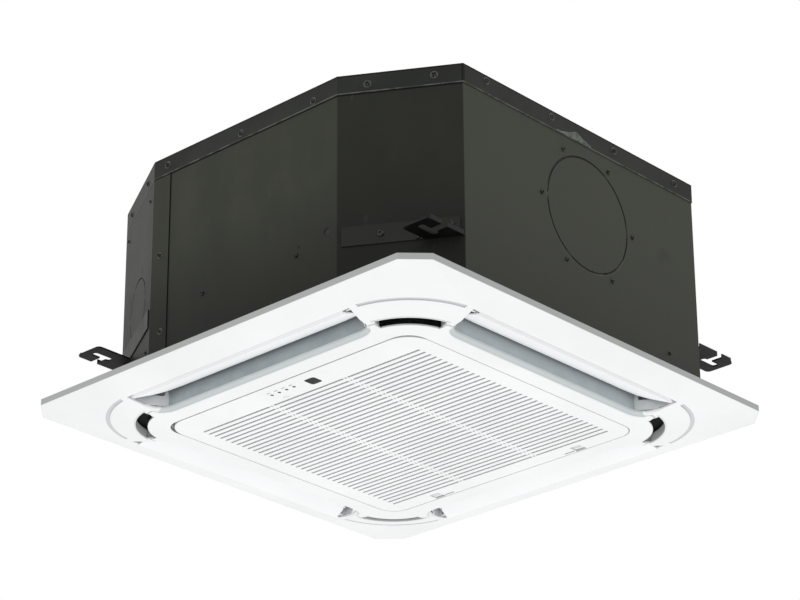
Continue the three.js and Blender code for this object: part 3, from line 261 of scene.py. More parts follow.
def casing_paint(s):
    x, y, z = s.axes()
    cloud = s.grain(7.0, 4.0)
    streak = s.grain(16.0, 5.0, (1, 1, 0.35))
    tone = (cloud * 0.6 + streak * 0.4).ramp(0.36, 0.66)
    colour = tone.blend((53, 55, 47), (61, 63, 54))
    # Painted shade: the near corner's chamfer is darkened, as a face that gets less light.
    out = x * near_normal[0] + y * near_normal[1]
    near_corner = out.ramp(0.4655, 0.4662) * x.ramp(0.228, 0.234)
    colour = (near_corner * 0.55).blend(colour, (16, 17, 14))
    # Painted shade: every wall darkens towards its bottom edge, under the brackets and above the panel.
    colour = (z.ramp(0.30, 0.02) * 0.7).blend(colour, (19, 20, 16))
    # Painted shade: a thin dark line on the wall just below the rim's folded edge.
    colour = z.band(0.3903, 0.0009, 0.0007).blend(colour, (14, 14, 13))
    scuff = s.grain(60.0, 4.0, (1, 1, 0.3)).ramp(0.66, 0.74) * cloud.ramp(0.5, 0.6)
    colour = (scuff * 0.35).blend(colour, (82, 84, 78))
    out = x * pipe_normal[0] + y * pipe_normal[1]
    pipe_corner = out.ramp(0.4636, 0.4643) * x.ramp(-0.226, -0.235)
    shadow = pipe_corner * 0.30 + pipe_corner * x.ramp(-0.31, -0.23) * 0.25
    colour = shadow.blend(colour, (20, 21, 18))
    stain = s.grain(30.0, 5.0, (1, 1, 0.35)).ramp(0.60, 0.64) * pipe_corner * z.ramp(0.34, 0.22)
    colour = (stain * 0.85).blend(colour, (8, 8, 7))
    seam = x.band(-0.1850, 0.0006, 0.0005) * y.ramp(-0.404, -0.405)
    colour = seam.blend(colour, (12, 12, 11))
    centre_y, centre_z, radius = (v * mm for v in fresh_air)
    reach = (y - centre_y).reach(z - centre_z)
    wall_b = x.ramp(0.4190, 0.4198)
    # Painted light: the whole of the knock-out side's wall is lightened.
    colour = (wall_b * 0.7).blend(colour, (69, 71, 63))
    lit_edge = reach.band(radius + 0.0020, 0.0006, 0.0005) * z.ramp(0.30, 0.20) * wall_b
    colour = (lit_edge * 0.35).blend(colour, (112, 114, 108))
    # Painted shade: a dark band round the knock-out's cut, on the wall beside it, broken up by noise.
    cut_shade = reach.band(radius, 0.0018, 0.0004) * s.grain(14.0, 2.0).ramp(0.40, 0.46) * wall_b
    colour = (cut_shade * 0.8).blend(colour, (12, 12, 11))
    smear = (y - smear_at[0]).reach(z - smear_at[1]).ramp(0.03, 0.008)
    smear = smear * cloud.ramp(0.35, 0.55) * wall_b * 0.5
    colour = smear.blend(colour, (20, 21, 18))
    return s.coat(colour, 0.46 + cloud * 0.16, s.grain(1400.0, 2.0) + cloud * 0.8, 0.12, 0.0006)


def rim_paint(s):
    x, y, z = s.axes()
    cloud = s.grain(9.0, 4.0)
    colour = cloud.ramp(0.35, 0.68).blend((36, 38, 33), (46, 48, 43))
    post = (x - 0.4215).reach(y + 0.2922)
    colour = post.ramp(0.0045, 0.0025).blend(colour, (10, 10, 9))
    chipped = s.grain(45.0, 5.0, (1, 1, 0.2)).ramp(0.38, 0.58)
    fold = z.band(0.3926, 0.0009, 0.0008) * (0.25 + chipped * 0.6)
    colour = (fold * 0.8).blend(colour, (112, 114, 110))
    crown = z.ramp(0.4246, 0.4254) * z.ramp(0.42799, 0.42795)
    colour = crown.blend(colour, (6, 6, 6))
    return s.coat(colour, 0.44 + cloud * 0.14, s.grain(1400.0, 2.0) + cloud * 0.8, 0.12, 0.0006)


carry_over(material("casing_paint", casing_paint, Specular_IOR_Level=0.12),
           "casing_wall", "corner_cover", "pipe_plate")
carry_over(material("rim_paint", rim_paint, Specular_IOR_Level=0.14), "casing_top")


# ---- casing screws
# Pan-head steel screws that hold the cap's rim, the walls and the cover plates: turned heads with
# a round recess, dark with rubbed edges. Those of the rim and two more have flat grey washers.

def screw_paint(s):
    worn = s.grain(420.0, 3.0).ramp(0.5, 0.66)
    coat = s.coat(worn.blend((16, 17, 15), (96, 98, 94)),
                  0.32 + worn * 0.2, s.grain(900.0, 2.0), 0.1, 0.0004)
    return {**coat, "Metallic": 0.5 + worn * 0.4}


screw_metal = material("screw_metal", screw_paint)
washer_metal = mottled("washer_metal", (300.0, 3.0), (0.35, 0.65), (52, 54, 50), (92, 94, 90),
                       (0.4, 0.2), (300.0, 3.0, 0.1, 0.0004))
rim_lift = 1.5
screw_ring = 124


def lathe(profile, steps, centre=(0, 0, 0), normal=(0, 0, 1)):
    """A closed profile of (radius, height) points turned about an axis."""
    spin = Vector(normal).to_track_quat("Z", "Y").to_matrix()
    points = []
    faces = []
    count = len(profile)
    for i in range(steps):
        angle = 2 * pi * i / steps
        for radius, height in profile:
            spot = spin @ Vector((radius * cos(angle), radius * sin(angle), height))
            points.append(tuple(spot + Vector(centre)))
    for i in range(steps):
        low, high = i * count, ((i + 1) % steps) * count
        for j in range(count):
            k = (j + 1) % count
            faces.append((low + j, low + k, high + k, high + j))
    return points, faces


def merged(shapes):
    points = []
    faces = []
    for more_points, more_faces in shapes:
        start = len(points)
        points += more_points
        faces += [tuple(start + i for i in face) for face in more_faces]
    return points, faces


def smooth(piece, angle=35):
    """Smooth shading that keeps edges sharper than the angle."""
    piece.data.polygons.foreach_set("use_smooth", [True] * len(piece.data.polygons))
    piece.data.set_sharp_from_angle(angle=radians(angle))
    return piece


def wall_spot(wall, x, y, z, lift):
    """The point on a side wall nearest to (x, y), raised off it, and the wall's normal."""
    start, end = Vector(corners[wall]), Vector(corners[(wall + 1) % 8])
    along = (end - start).normalized()
    normal = Vector((along.y, -along.x))
    spot = start + along * (Vector((x, y)) - start).dot(along) + normal * lift
    return (spot.x, spot.y, z), (normal.x, normal.y, 0)


def screw(wall, x, y, z, lift, radius=6.4):
    """A domed head with a shallow round recess, a closed ring profile about its own axis."""
    centre, normal = wall_spot(wall, x, y, z, lift)
    core = radius * 0.78
    profile = [(0.05, -0.2), (core, -0.2), (core, 2.0), (core * 0.8, 2.9),
               (core * 0.55, 3.1), (core * 0.42, 1.5), (0.05, 1.4)]
    return lathe(profile, 20, centre, normal)


def washer(wall, x, y, z, lift, radius=6.4):
    """A plain flat ring that the head bears on."""
    centre, normal = wall_spot(wall, x, y, z, lift)
    profile = [(radius * 0.7, -0.2), (radius + 0.6, -0.2), (radius + 0.6, 0.4), (radius + 0.2, 0.7),
               (radius * 0.7, 0.7)]
    return lathe(profile, 24, centre, normal)


rim_screws = [(5, -193, -405, 410), (5, -4, -405, 405), (5, 175, -405, 402), (6, 278, -379, 407),
              (6, 378, -319, 411), (4, -272, -380, 409), (4, -385, -316, 408), (7, 420, -233, 417),
              (7, 420, -60, 415), (7, 420, 112, 413), (7, 420, 287, 412), (0, 364, 372, 410),
              (1, 180, 405, 410), (1, 0, 405, 410), (1, -180, 405, 410), (2, -364, 372, 410),
              (3, -420, 200, 410), (3, -420, 20, 410), (3, -420, -170, 410)]
wall_screws = [(6, 296.6, -365.8, 119, 7), (6, 400, -303.5, 124.5, 5.6), (6, 351, -333, 105, 4.2),
               (5, 135.3, -405, 119, 5.4), (5, -95.9, -405, 123, 5.4), (1, 120, 405, 120, 4),
               (1, -120, 405, 120, 4), (7, 420, 250, 60, 4)]
cover_screws = [(5, -208, -405, 233, 5.4), (5, -200, -405, 82, 5.4), (4, -400, -308, 360, 3.6),
                (4, -250, -393, 360, 3.6), (4, -400, -308, 60, 3.6), (4, -250, -393, 60, 3.6)]
heads = [screw(w, x, y, z, rim_lift) for w, x, y, z in rim_screws]
heads += [screw(w, x, y, z, 2.6 if w == 6 else 0, r) for w, x, y, z, r in wall_screws]
heads += [screw(w, x, y, z, rim_lift, r) for w, x, y, z, r in cover_screws]
washers = [washer(w, x, y, z, rim_lift) for w, x, y, z in rim_screws]
washers += [washer(w, x, y, z, rim_lift, r) for w, x, y, z, r in cover_screws[:2]]
for i in range(6):
    y = fresh_air[0] + screw_ring * cos(i * pi / 3)
    z = fresh_air[1] + screw_ring * sin(i * pi / 3)
    heads.append(screw(7, 420, y, z, 0, 5.2))
for y in (-270, -180):
    heads.append(screw(3, -420, y, 180, rim_lift, 3.6))
screws = smooth(mesh_piece("casing_screws", merged(heads), screw_metal))
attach(screws, "body")
rings = smooth(mesh_piece("casing_washers", merged(washers), washer_metal))
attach(rings, "body")


# ---- bent flap
# A tongue of the cap's sheet bent out of the rim on the knock-out side, grey-green and crumpled.
# It is folded from the rim and stands a little proud of it.

def flap_paint(s):
    flake = s.grain(70.0, 4.0).ramp(0.36, 0.66)
    return s.coat(flake.blend((52, 56, 51), (112, 119, 110)),
                  0.5 + flake * 0.2, s.grain(240.0, 4.0), 0.5, 0.0012)


def thin_sheet(name, grid, thick, finish):
    """A sheet from rows of points in mm, given a thickness inwards along x."""
    rows, columns = len(grid), len(grid[0])
    front = [p for row in grid for p in row]
    back = [(x - thick, y, z) for x, y, z in front]
    far = len(front)
    faces = []
    for r in range(rows - 1):
        for c in range(columns - 1):
            a = r * columns + c
            b, d, e = a + 1, a + columns, a + columns + 1
            faces += [(a, b, e, d), (a + far, d + far, e + far, b + far)]
    edge = list(range(columns)) + [r * columns + columns - 1 for r in range(1, rows)]
    edge += [(rows - 1) * columns + c for c in range(columns - 2, -1, -1)]
    edge += [r * columns for r in range(rows - 2, 0, -1)]
    for i, a in enumerate(edge):
        b = edge[(i + 1) % len(edge)]
        faces.append((a, a + far, b + far, b))
    return smooth(mesh_piece(name, (front + back, faces), finish))


flap_grid = []
for row in range(9):
    up = row / 8
    line = []
    for column in range(33):
        y = -47 + 93 * column / 32
        hump = max(0.0, 1 - abs(y - 6) / 46) ** 1.4
        z = 393.5 + up * (2.5 + 15 * hump)
        crumple = noise.noise(Vector((y * 0.09, z * 0.14, 3.1)))
        proud = 422.0 + 3.4 * hump * sin(up * pi) ** 0.8 + 1.1 * abs(crumple) * sin(up * pi)
        line.append((proud, y, z))
    flap_grid.append(line)
flap = thin_sheet("rim_flap", flap_grid, 0.9, material("flap_paint", flap_paint))
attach(flap, "body")


# ---- foam liner
# Dark closed-cell foam glued inside the sheet, which keeps the cold air off the steel. It shows
# through the knock-outs and round the service window.

def foam_paint(s):
    cell = s.node("TexVoronoi", {}, {"Vector": s.place(), "Scale": 700.0})
    return s.coat(cell.ramp(0.1, 0.7).blend((30, 32, 33), (52, 54, 55)),
                  0.85 + cell * 0.1, cell, 0.6, 0.0006)


foam = material("foam", foam_paint)
carry_over(foam, "foam_liner", "body_gasket")


# ---- hanger brackets
# Pressed steel plates in black paint at the four cut corners, each open on the outside so a
# threaded rod slides in. A turned-up strip is screwed to the wall, painted in the casing's tone
# darkened by the same painted shade as the chamfer behind it.

def bracket_paint(s):
    x, y, z = s.axes()
    cloud = s.grain(30.0, 4.0)
    rub = s.grain(170.0, 4.0).ramp(0.6, 0.7)
    colour = cloud.ramp(0.35, 0.7).blend((9, 9, 9), (19, 19, 19))
    colour = (rub * 0.12).blend(colour, (80, 81, 82))
    # Painted shade: the strip takes the dark tone of the chamfer's painted shade, not the casing's own
    # paint.
    strip = x.size().ramp(0.3608, 0.3600).most(z.ramp(0.1043, 0.1050))
    colour = (strip * x.size().ramp(0.4172, 0.4168)).blend(colour, (27, 28, 24))
    return s.coat(colour, 0.42 + cloud * 0.2, s.grain(800.0, 2.0), 0.15, 0.0005)


def prism(outline, low, high):
    """A flat outline of (x, y) points pushed up from low to high."""
    count = len(outline)
    points = [(x, y, low) for x, y in outline] + [(x, y, high) for x, y in outline]
    faces = [tuple(range(count))[::-1], tuple(range(count, 2 * count))]
    faces += [(i, (i + 1) % count, count + (i + 1) % count, count + i) for i in range(count)]
    return points, faces


def block(x0, x1, y0, y1, z0, z1):
    return prism([(x0, y0), (x1, y0), (x1, y1), (x0, y1)], z0, z1)


def rounded(points, radius, steps=5):
    """The outline with each corner swapped for an arc of about the radius."""
    made = []
    count = len(points)
    for i, point in enumerate(points):
        here = Vector(point)
        before, after = Vector(points[i - 1]) - here, Vector(points[(i + 1) % count]) - here
        back = min(radius, before.length * 0.45, after.length * 0.45)
        start, end = here + before.normalized() * back, here + after.normalized() * back
        for k in range(steps + 1):
            t = k / steps
            spot = start * (1 - t) ** 2 + here * 2 * t * (1 - t) + end * t ** 2
            made.append((spot.x, spot.y))
    return made


def combine(piece, shape, operation):
    """The piece cut or joined with another shape by an exact boolean."""
    tool = mesh_piece("tool", shape, piece.data.materials[0])
    for each in (piece, tool):
        work = bmesh.new()
        work.from_mesh(each.data)
        bmesh.ops.triangulate(work, faces=[f for f in work.faces if len(f.verts) > 3])
        work.to_mesh(each.data)
        work.free()
    step = piece.modifiers.new("step", "BOOLEAN")
    step.operation = operation
    step.solver = "EXACT"
    step.object = tool
    done = bpy.data.meshes.new_from_object(piece.evaluated_get(bpy.context.evaluated_depsgraph_get()))
    piece.modifiers.remove(step)
    old, old_tool = piece.data, tool.data
    piece.data = done
    bpy.data.meshes.remove(old)
    bpy.data.objects.remove(tool)
    bpy.data.meshes.remove(old_tool)


def cut(piece, shape):
    combine(piece, shape, "DIFFERENCE")


def join(piece, shape):
    combine(piece, shape, "UNION")


def soften(piece, width, segments=2, angle=32):
    """Coplanar faces merged, then a small round on every edge, as moulding and pressing leave."""
    work = bmesh.new()
    work.from_mesh(piece.data)
    bmesh.ops.remove_doubles(work, verts=work.verts, dist=2e-6)
    bmesh.ops.dissolve_limit(work, angle_limit=radians(0.3), verts=work.verts, edges=work.edges)
    work.to_mesh(piece.data)
    work.free()
    piece.data.polygons.foreach_set("use_smooth", [True] * len(piece.data.polygons))
    edge = piece.modifiers.new("edge", "BEVEL")
    edge.width = width * mm
    edge.segments = segments
    edge.limit_method = "ANGLE"
    edge.angle_limit = radians(angle)
    edge.use_clamp_overlap = True
    even = piece.modifiers.new("even", "WEIGHTED_NORMAL")
    even.keep_sharp = True
    return piece


hanger_z = 101
bracket_black = material("bracket_black", bracket_paint, Specular_IOR_Level=0.22)


def hanger(name, sign_x, sign_y, chamfer, reach, lift):
    """chamfer is the casing corner's (x, y) cut, and lift is how far the strip stands off it."""
    inner = casing_half_x - 59
    slope = chamfer[1] / chamfer[0]
    clear = (lift + 1) * hypot(1, slope)

    def wall_y(x):
        return casing_half_y - slope * (x - (casing_half_x - chamfer[0])) + clear

    plate = [(inner, wall_y(inner)), (casing_half_x, wall_y(casing_half_x)), (casing_half_x, reach),
             (inner, reach)]
    mouth = reach - 34
    plan = [plate[0], plate[1]] + rounded(plate, 9)[12:]
    piece = mesh_piece(name, prism(plan, hanger_z, hanger_z + 3), bracket_black)
    for y0, y1 in ((mouth, reach - 7), (wall_y(casing_half_x) + 2, mouth - 14)):
        if y1 > y0 + 1:
            join(piece, block(casing_half_x - 2, casing_half_x, y0, y1, hanger_z + 1, hanger_z + 9))
    slot = rounded([(383.5, reach - 55), (396.5, reach - 55), (396.5, reach - 13),
                    (383.5, reach - 13)], 6.4)
    cut(piece, prism(slot, hanger_z - 1, hanger_z + 4))
    cut(piece, block(390, casing_half_x + 5, mouth - 14, mouth, hanger_z - 1, hanger_z + 14))
    start = Vector((casing_half_x - chamfer[0], casing_half_y))
    along = Vector((casing_half_x, casing_half_y - chamfer[1])) - start
    length = along.length
    along.normalize()
    off = Vector((-along.y, along.x))
    ends = [start + along * s + off * d
            for s, d in ((8, lift), (8, lift + 2), (length - 8, lift + 2), (length - 8, lift))]
    join(piece, prism([tuple(p) for p in ends], hanger_z, hanger_z + 36))
    piece.data.transform(Matrix.Diagonal((sign_x, sign_y, 1, 1)))
    if sign_x * sign_y < 0:
        piece.data.flip_normals()
    soften(piece, 0.6)
    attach(piece, "body")
    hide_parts(name.replace("bracket", "hanger"))


hanger("bracket_near", 1, -1, (188, 113), 385, 0.3)
hanger("bracket_pipe", -1, -1, (192, 108), 408, 1.8)
hanger("bracket_right", 1, 1, (112, 67), 441, 0.3)
hanger("bracket_far", -1, 1, (112, 67), 441, 0.3)


# ---- fan motor and its mounts
# A dark die-cast motor can hung from a zinc-plated disc under the casing top on three rubber
# mounts, with a plated steel shaft down the middle.

def zinc_paint(s):
    patch = s.node("TexVoronoi", {}, {"Vector": s.place(), "Scale": 90.0})
    shade = s.node("SeparateColor", {}, {0: patch.pick("Color")})
    return s.coat(shade.ramp(0.1, 0.9).blend((158, 162, 165), (188, 191, 193)),
                  0.3 + shade * 0.16, s.grain(600.0, 2.0), 0.08, 0.0004)


zinc = material("zinc_plate", zinc_paint, Metallic=0.9)
cast_dark = mottled("cast_dark", (520.0, 3.0), (0.35, 0.65), (30, 32, 35), (44, 46, 50),
                    (0.48, 0.15), (520.0, 3.0, 0.35, 0.0006), Metallic=0.3)
rubber = mottled("rubber", (140.0, 4.0), (0.4, 0.75), (20, 20, 20), (38, 38, 37),
                 (0.75, 0.15), (900.0, 2.0, 0.2, 0.0004))
carry_over(zinc, "motor_plate", "motor_shaft", "hinge_pin_left", "hinge_pin_right", "control_box",
           "control_box_cover", "pipe_end_plate")
carry_over(rubber, "rubber_mount_1", "rubber_mount_2", "rubber_mount_3")

motor_steps = 96
motor_top = 406.3
motor_profile = [(6.4, 299.9), (60, 299.9), (64, 301.2), (68.6, 305.6), (69.9, 309.5), (69.9, 330),
                 (68.6, 331.2), (68.6, 333.4), (69.9, 334.6), (69.9, 372), (68.6, 373.2), (68.6, 375.4),
                 (69.9, 376.6), (69.9, motor_top - 4), (102.4, motor_top - 4), (102.9, motor_top - 3.4),
                 (102.9, motor_top - 0.5), (102.4, motor_top), (6.4, motor_top)]
motor = smooth(mesh_piece("motor_can", lathe(motor_profile, motor_steps), cast_dark), 28)
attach(motor, "body")
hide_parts("fan_motor")


# ---- turbo fan
# One moulding in pale plastic: a dished back plate, seven backward curved blades, and a shroud
# that takes the air in. A brass nut holds it on the motor's shaft.

fan_white = mottled("fan_plastic", (26.0, 3.0), (0.35, 0.7), (206, 209, 209), (222, 225, 225),
                    (0.42, 0.12), (700.0, 2.0, 0.08, 0.0004))
brass = mottled("brass", (210.0, 4.0), (0.4, 0.7), (190, 157, 88), (150, 118, 66),
                (0.28, 0.2), (800.0, 2.0, 0.1, 0.0003), Metallic=0.92)
carry_over(brass, "fan_nut", "gas_flare_nut", "liquid_flare_nut")

fan_radius = 231.5
fan_steps = 120
hub = lathe([(6.5, 240.2), (25.2, 240.2), (25.8, 241), (25.8, 262), (58, 262), (121, 327),
             (fan_radius, 327), (fan_radius, 330), (120, 330), (56, 268), (6.5, 268)], fan_steps)
shroud = lathe([(172, 88.2), (175, 88.2), (177.5, 102.5), (187, 115), (206, 124.5),
                (fan_radius, 130.5), (fan_radius, 134), (204, 128), (184, 118.5), (174.5, 104)],
               fan_steps)
blade_rows = ((147.5, 136.0, 1.1), (165.0, 128.5, 1.45), (184.0, 117.8, 1.5), (204.0, 127.2, 1.5),
              (217.0, 129.8, 1.4), (229.5, 132.8, 1.0))


def blade(index):
    """One blade, as an upright sheet that sweeps back as it goes out, thin at both ends."""
    start = index * 2 * pi / 7
    left = []
    right = []
    for radius, low, half in blade_rows:
        t = (radius - 147) / 83
        angle = start - 0.7 * t
        lean = angle - pi / 4
        side = (-sin(lean) * half, cos(lean) * half)
        spot = (radius * cos(angle), radius * sin(angle))
        left.append((spot[0] + side[0], spot[1] + side[1], low))
        right.append((spot[0] - side[0], spot[1] - side[1], low))
    ring = left + right[::-1]
    count = len(ring)
    points = ring + [(x, y, 328.0) for x, y, z in ring]
    faces = [(i, (i + 1) % count, count + (i + 1) % count, count + i) for i in range(count)]
    for i in range(len(left) - 1):
        j = count - 1 - i
        faces += [(i, j, j - 1, i + 1), (count + i, count + i + 1, count + j - 1, count + j)]
    return points, faces


fan = mesh_piece("turbo_wheel", merged([hub, shroud]), fan_white)
join(fan, merged([blade(i) for i in range(7)]))
smooth(fan, 25)
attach(fan, "fan")
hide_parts("turbo_fan")


# ---- bell mouth
# Moulded ring that guides the air from the grille into the fan, a smooth flare with a flat
# flange that rests on the drain pan.

plastic = mottled("plain_plastic", (18.0, 3.0), (0.35, 0.7), (217, 218, 217), (229, 230, 229),
                  (0.45, 0.12), (650.0, 2.0, 0.1, 0.0004))
carry_over(plastic, "drain_port", "float_stem", "float_ring", "terminal_block", "louvre_motor_display",
           "louvre_motor_knockout", "louvre_motor_latch", "louvre_motor_pipe")

bell_profile = [(193, 5.3), (221.5, 5.3), (221.9, 5.7), (221.9, 7.6), (196, 7.6), (189.4, 13.6),
                (184, 21.5), (178.4, 34), (174, 47.6), (169.6, 75), (166, 101.9), (164.3, 101.9),
                (167.4, 75), (171.8, 47), (175.9, 33), (181.6, 20.5), (187, 11.6)]
bell = smooth(mesh_piece("bell_ring", lathe(bell_profile, 120), plastic), 28)
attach(bell, "body")
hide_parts("bell_mouth")


# ---- heat exchanger
# A square ring of thin aluminium fins round the fan, on copper tubes that turn back at its end,
# and two copper pipes that lead to the wall of the pipe side.

def fin_paint(s):
    x, y, z = s.axes()
    fins = ((x + y) * 2400.0).wave()
    tubes = (z * 420.0).wave().ramp(0.55, 0.95)
    colour = fins.ramp(-0.6, 0.6).blend((120, 125, 128), (206, 211, 213))
    return s.coat((tubes * 0.25).blend(colour, (96, 100, 103)),
                  0.35 + s.grain(90.0, 2.0) * 0.2, fins, 0.35, 0.0005)


copper = mottled("copper", (70.0, 5.0), (0.35, 0.7), (190, 118, 76), (142, 82, 52),
                 (0.26, 0.24), (500.0, 2.0, 0.08, 0.0004), Metallic=0.95)
carry_over(material("fin_pack", fin_paint, Metallic=0.7), "heat_exchanger")
carry_over(copper, "bend_end_plate")


def pipe_run(name, route, radius, finish):
    """A round tube along a smooth route of points in mm, closed at both ends."""
    curve = bpy.data.curves.new(name, "CURVE")
    curve.dimensions = "3D"
    curve.resolution_u = 8
    curve.bevel_depth = radius * mm
    curve.bevel_resolution = 6
    curve.use_fill_caps = True
    line = curve.splines.new("NURBS")
    line.points.add(len(route) - 1)
    for point, spot in zip(line.points, route):
        point.co = (*[v * mm for v in spot], 1)
    line.use_endpoint_u = True
    line.order_u = 3
    curve.materials.append(finish)
    made = bpy.data.objects.new(name, curve)
    scene.collection.objects.link(made)
    return made


coil_middle = -312
for node, radius, z in (("gas_pipe", 7.8, 150), ("liquid_pipe", 4.9, 215)):
    route = [(x, y, z) for x, y in ((coil_middle, -174.6), (coil_middle, -196), (coil_middle - 4, -219),
                                    (coil_middle - 20, -225), (coil_middle - 44, -225), (-400, -225),
                                    (-455, -225))]
    run = pipe_run(node + "_run", route, radius, copper)
    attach(run, "body")
    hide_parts(node)


# ---- drain
# A moulded styrene pan under the coil, the pump and float in its sump, and a rubber hose that
# lifts the water to the port in the wall.

def styrene_paint(s):
    bead = s.node("TexVoronoi", {}, {"Vector": s.place(), "Scale": 260.0})
    return s.coat(bead.ramp(0.1, 0.8).blend((212, 214, 210), (233, 234, 231)),
                  0.8 + bead * 0.1, bead, 0.5, 0.0008)


carry_over(material("styrene", styrene_paint), "drain_pan")
carry_over(cast_dark, "drain_pump")
hose = pipe_run("hose_run", [(-350, 325, 233.4), (-350, 325, 250), (-350, 325, 276), (-354, 321, 294),
                             (-368, 318, 300), (-382, 318, 300), (-394.6, 318, 300)], 8.8, rubber)
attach(hose, "body")
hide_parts("drain_hose")


# ---- facia panel
# Injection moulded white plastic, about 3 mm thick and open at the back: a sloping border, a
# flat inner frame, four outlets with bevelled lips, and a curved outlet across each corner.

panel_half = 475
plateau_z = -41
crease_z = -26
edge_z = -11.3
skin = 3.0
corner_steps = 14


def panel_paint(s):
    x, y, z = s.axes()
    cloud = s.grain(5.0, 3.0)
    colour = cloud.ramp(0.3, 0.7).blend((238, 239, 240), (243, 244, 245))
    side = x.size().most(y.size())
    diagonal = x.size() + y.size()
    # Painted shade: the panel's upright outer band is greyed, as a face lit less than the underside.
    edge = side.ramp(0.4738, 0.4746).most(diagonal.ramp(0.9076, 0.9086))
    colour = (edge * z.ramp(-0.0120, -0.0108)).blend(colour, (177, 180, 179))
    u, v = x.size() - 0.262, y.size() - 0.262
    # Painted shade: the corner groove of the white moulding is greyed.
    groove = u.reach(v).band(0.1540, 0.0036, 0.0006) * u.least(v).ramp(0.0225, 0.0262)
    colour = (groove * z.ramp(-0.0230, -0.0240)).blend(colour, (206, 208, 210))
    # Painted shade: the outlets' inner walls above the frame are greyed.
    lip = z.ramp(-0.0404, -0.0398) * side.ramp(0.3530, 0.3525) * side.ramp(0.3330, 0.3350)
    lip = lip * x.size().least(y.size()).ramp(0.2775, 0.2765)
    colour = lip.blend(colour, (203, 209, 210))
    # Painted shade: the panel's wall in the gap round the grille is greyed.
    reveal_shade = side.ramp(0.3042, 0.3036) * z.ramp(-0.0340, -0.0350) * z.ramp(-0.0408, -0.0402)
    colour = reveal_shade.blend(colour, (150, 153, 156))
    # Painted shade: a grey band at the height of the flared ends' recessed faces, which greys those
    # faces.
    flare_shade = z.band(-0.0386, 0.0003, 0.0002)
    colour = flare_shade.blend(colour, (196, 199, 201))
    return s.coat(colour, 0.36 + cloud * 0.1, s.grain(900.0, 2.0), 0.06, 0.0004)


def round_ring(x0, x1, y0, y1, radius, z, steps=corner_steps, low_radius=None):
    """A square outline with round corners at one height. The corners at y0 may differ."""
    low = radius if low_radius is None else low_radius
    places = [(x1 - radius, y1 - radius, radius), (x0 + radius, y1 - radius, radius),
              (x0 + low, y0 + low, low), (x1 - low, y0 + low, low)]
    ring = []
    for corner, (cx, cy, reach) in enumerate(places):
        for i in range(steps + 1):
            angle = (corner + i / steps) * pi / 2
            ring.append((cx + reach * cos(angle), cy + reach * sin(angle), z))
    return ring


def square_ring(half, radius, z):
    return round_ring(-half, half, -half, half, radius, z)


def chamfer_ring(half, chamfer, z):
    """A square outline with cut corners, with as many points as a round one."""
    ring = []
    for corner in range(4):
        for i in range(corner_steps + 1):
            along = chamfer * i / corner_steps
            x, y = half - along, half - chamfer + along
            for _ in range(corner):
                x, y = -y, x
            ring.append((x, y, z))
    return ring


def stack(rings, looped=False):
    """Rings of equal count joined into a skin, closed on itself or with flat ends."""
    count = len(rings[0])
    points = [p for ring in rings for p in ring]
    faces = []
    for level in range(len(rings) if looped else len(rings) - 1):
        low, high = level * count, ((level + 1) % len(rings)) * count
        for i in range(count):
            j = (i + 1) % count
            faces.append((low + i, low + j, high + j, high + i))
    if not looped:
        top = (len(rings) - 1) * count
        faces += [tuple(range(count))[::-1], tuple(range(top, top + count))]
    return points, faces


def to_side(shape, side):
    """A shape made on the display side, turned to one of the four sides."""
    points, faces = shape
    for _ in range(side):
        points = [(-y, x, z) for x, y, z in points]
    return points, faces


def opening_ring(grow, z):
    return round_ring(-302 - grow, 302 + grow, -303.5 - grow, 302 + grow, 38 + grow, z)


def four_sides(*shapes):
    return merged([to_side(shape, side) for side in range(4) for shape in shapes])


def corner_arc(middle, inner, outer, half_turn, steps=24):
    """A curved band across the corner after the display side, about (middle, -middle)."""
    start, end = corner_turn - half_turn, corner_turn + half_turn
    turns = [start + (end - start) * i / steps for i in range(steps + 1)]
    points = [(middle + outer * cos(a), -middle + outer * sin(a)) for a in turns]
    return points + [(middle + inner * cos(a), -middle + inner * sin(a)) for a in reversed(turns)]


def bar_x(radius, x0, x1, y, z, steps=24):
    ring = [(radius * cos(2 * pi * i / steps), radius * sin(2 * pi * i / steps)) for i in range(steps)]
    return stack([[(x, y + a, z + b) for a, b in ring] for x in (x0, x1)])


knee_half = 262
slot_middle = 256
corner_turn = -pi / 4


def bow(t, start, middle, end):
    """A point of the curve that leaves start and reaches end, drawn towards the middle point."""
    return tuple(a * (1 - t) ** 2 + b * 2 * t * (1 - t) + c * t ** 2
                 for a, b, c in zip(start, middle, end))


def outlet_ring(z, inner, outer, outer_half, knee, grow=0.0, steps=10, back=40):
    """One outlet's plan: straight outer edge, leaning ends, round inner corners."""
    start, middle, end = ((knee + grow, inner + 32), (knee - 4 + grow, inner - grow),
                          (knee - back, inner - grow))
    right = [(outer_half + grow, outer)]
    right += [bow(i / steps, start, middle, end) for i in range(steps + 1)]
    return [(u, -a, z) for u, a in right] + [(-u, -a, z) for u, a in reversed(right)]


def outlet_at(z, grow):
    return outlet_ring(z, 344, 416, 271, knee_half, grow)


def above_skin():
    """Everything above the panel's skin, which the moulding leaves open."""
    return stack([opening_ring(skin, 20), opening_ring(skin, plateau_z + skin),
                  square_ring(351, 95, plateau_z + skin), square_ring(414, 152, crease_z + skin),
                  chamfer_ring(panel_half - skin, 40, edge_z + skin),
                  chamfer_ring(panel_half - skin, 40, 20)], True)


whole_rings = [opening_ring(0, 0), opening_ring(0, plateau_z), square_ring(353, 97, plateau_z),
               square_ring(416, 154, crease_z), chamfer_ring(panel_half, 41, edge_z),
               chamfer_ring(panel_half, 41, 0)]
panel_white = material("panel_plastic", panel_paint, Specular_IOR_Level=0.3)
panel = mesh_piece("facia_panel", stack(whole_rings, True), panel_white)
cut(panel, above_skin())

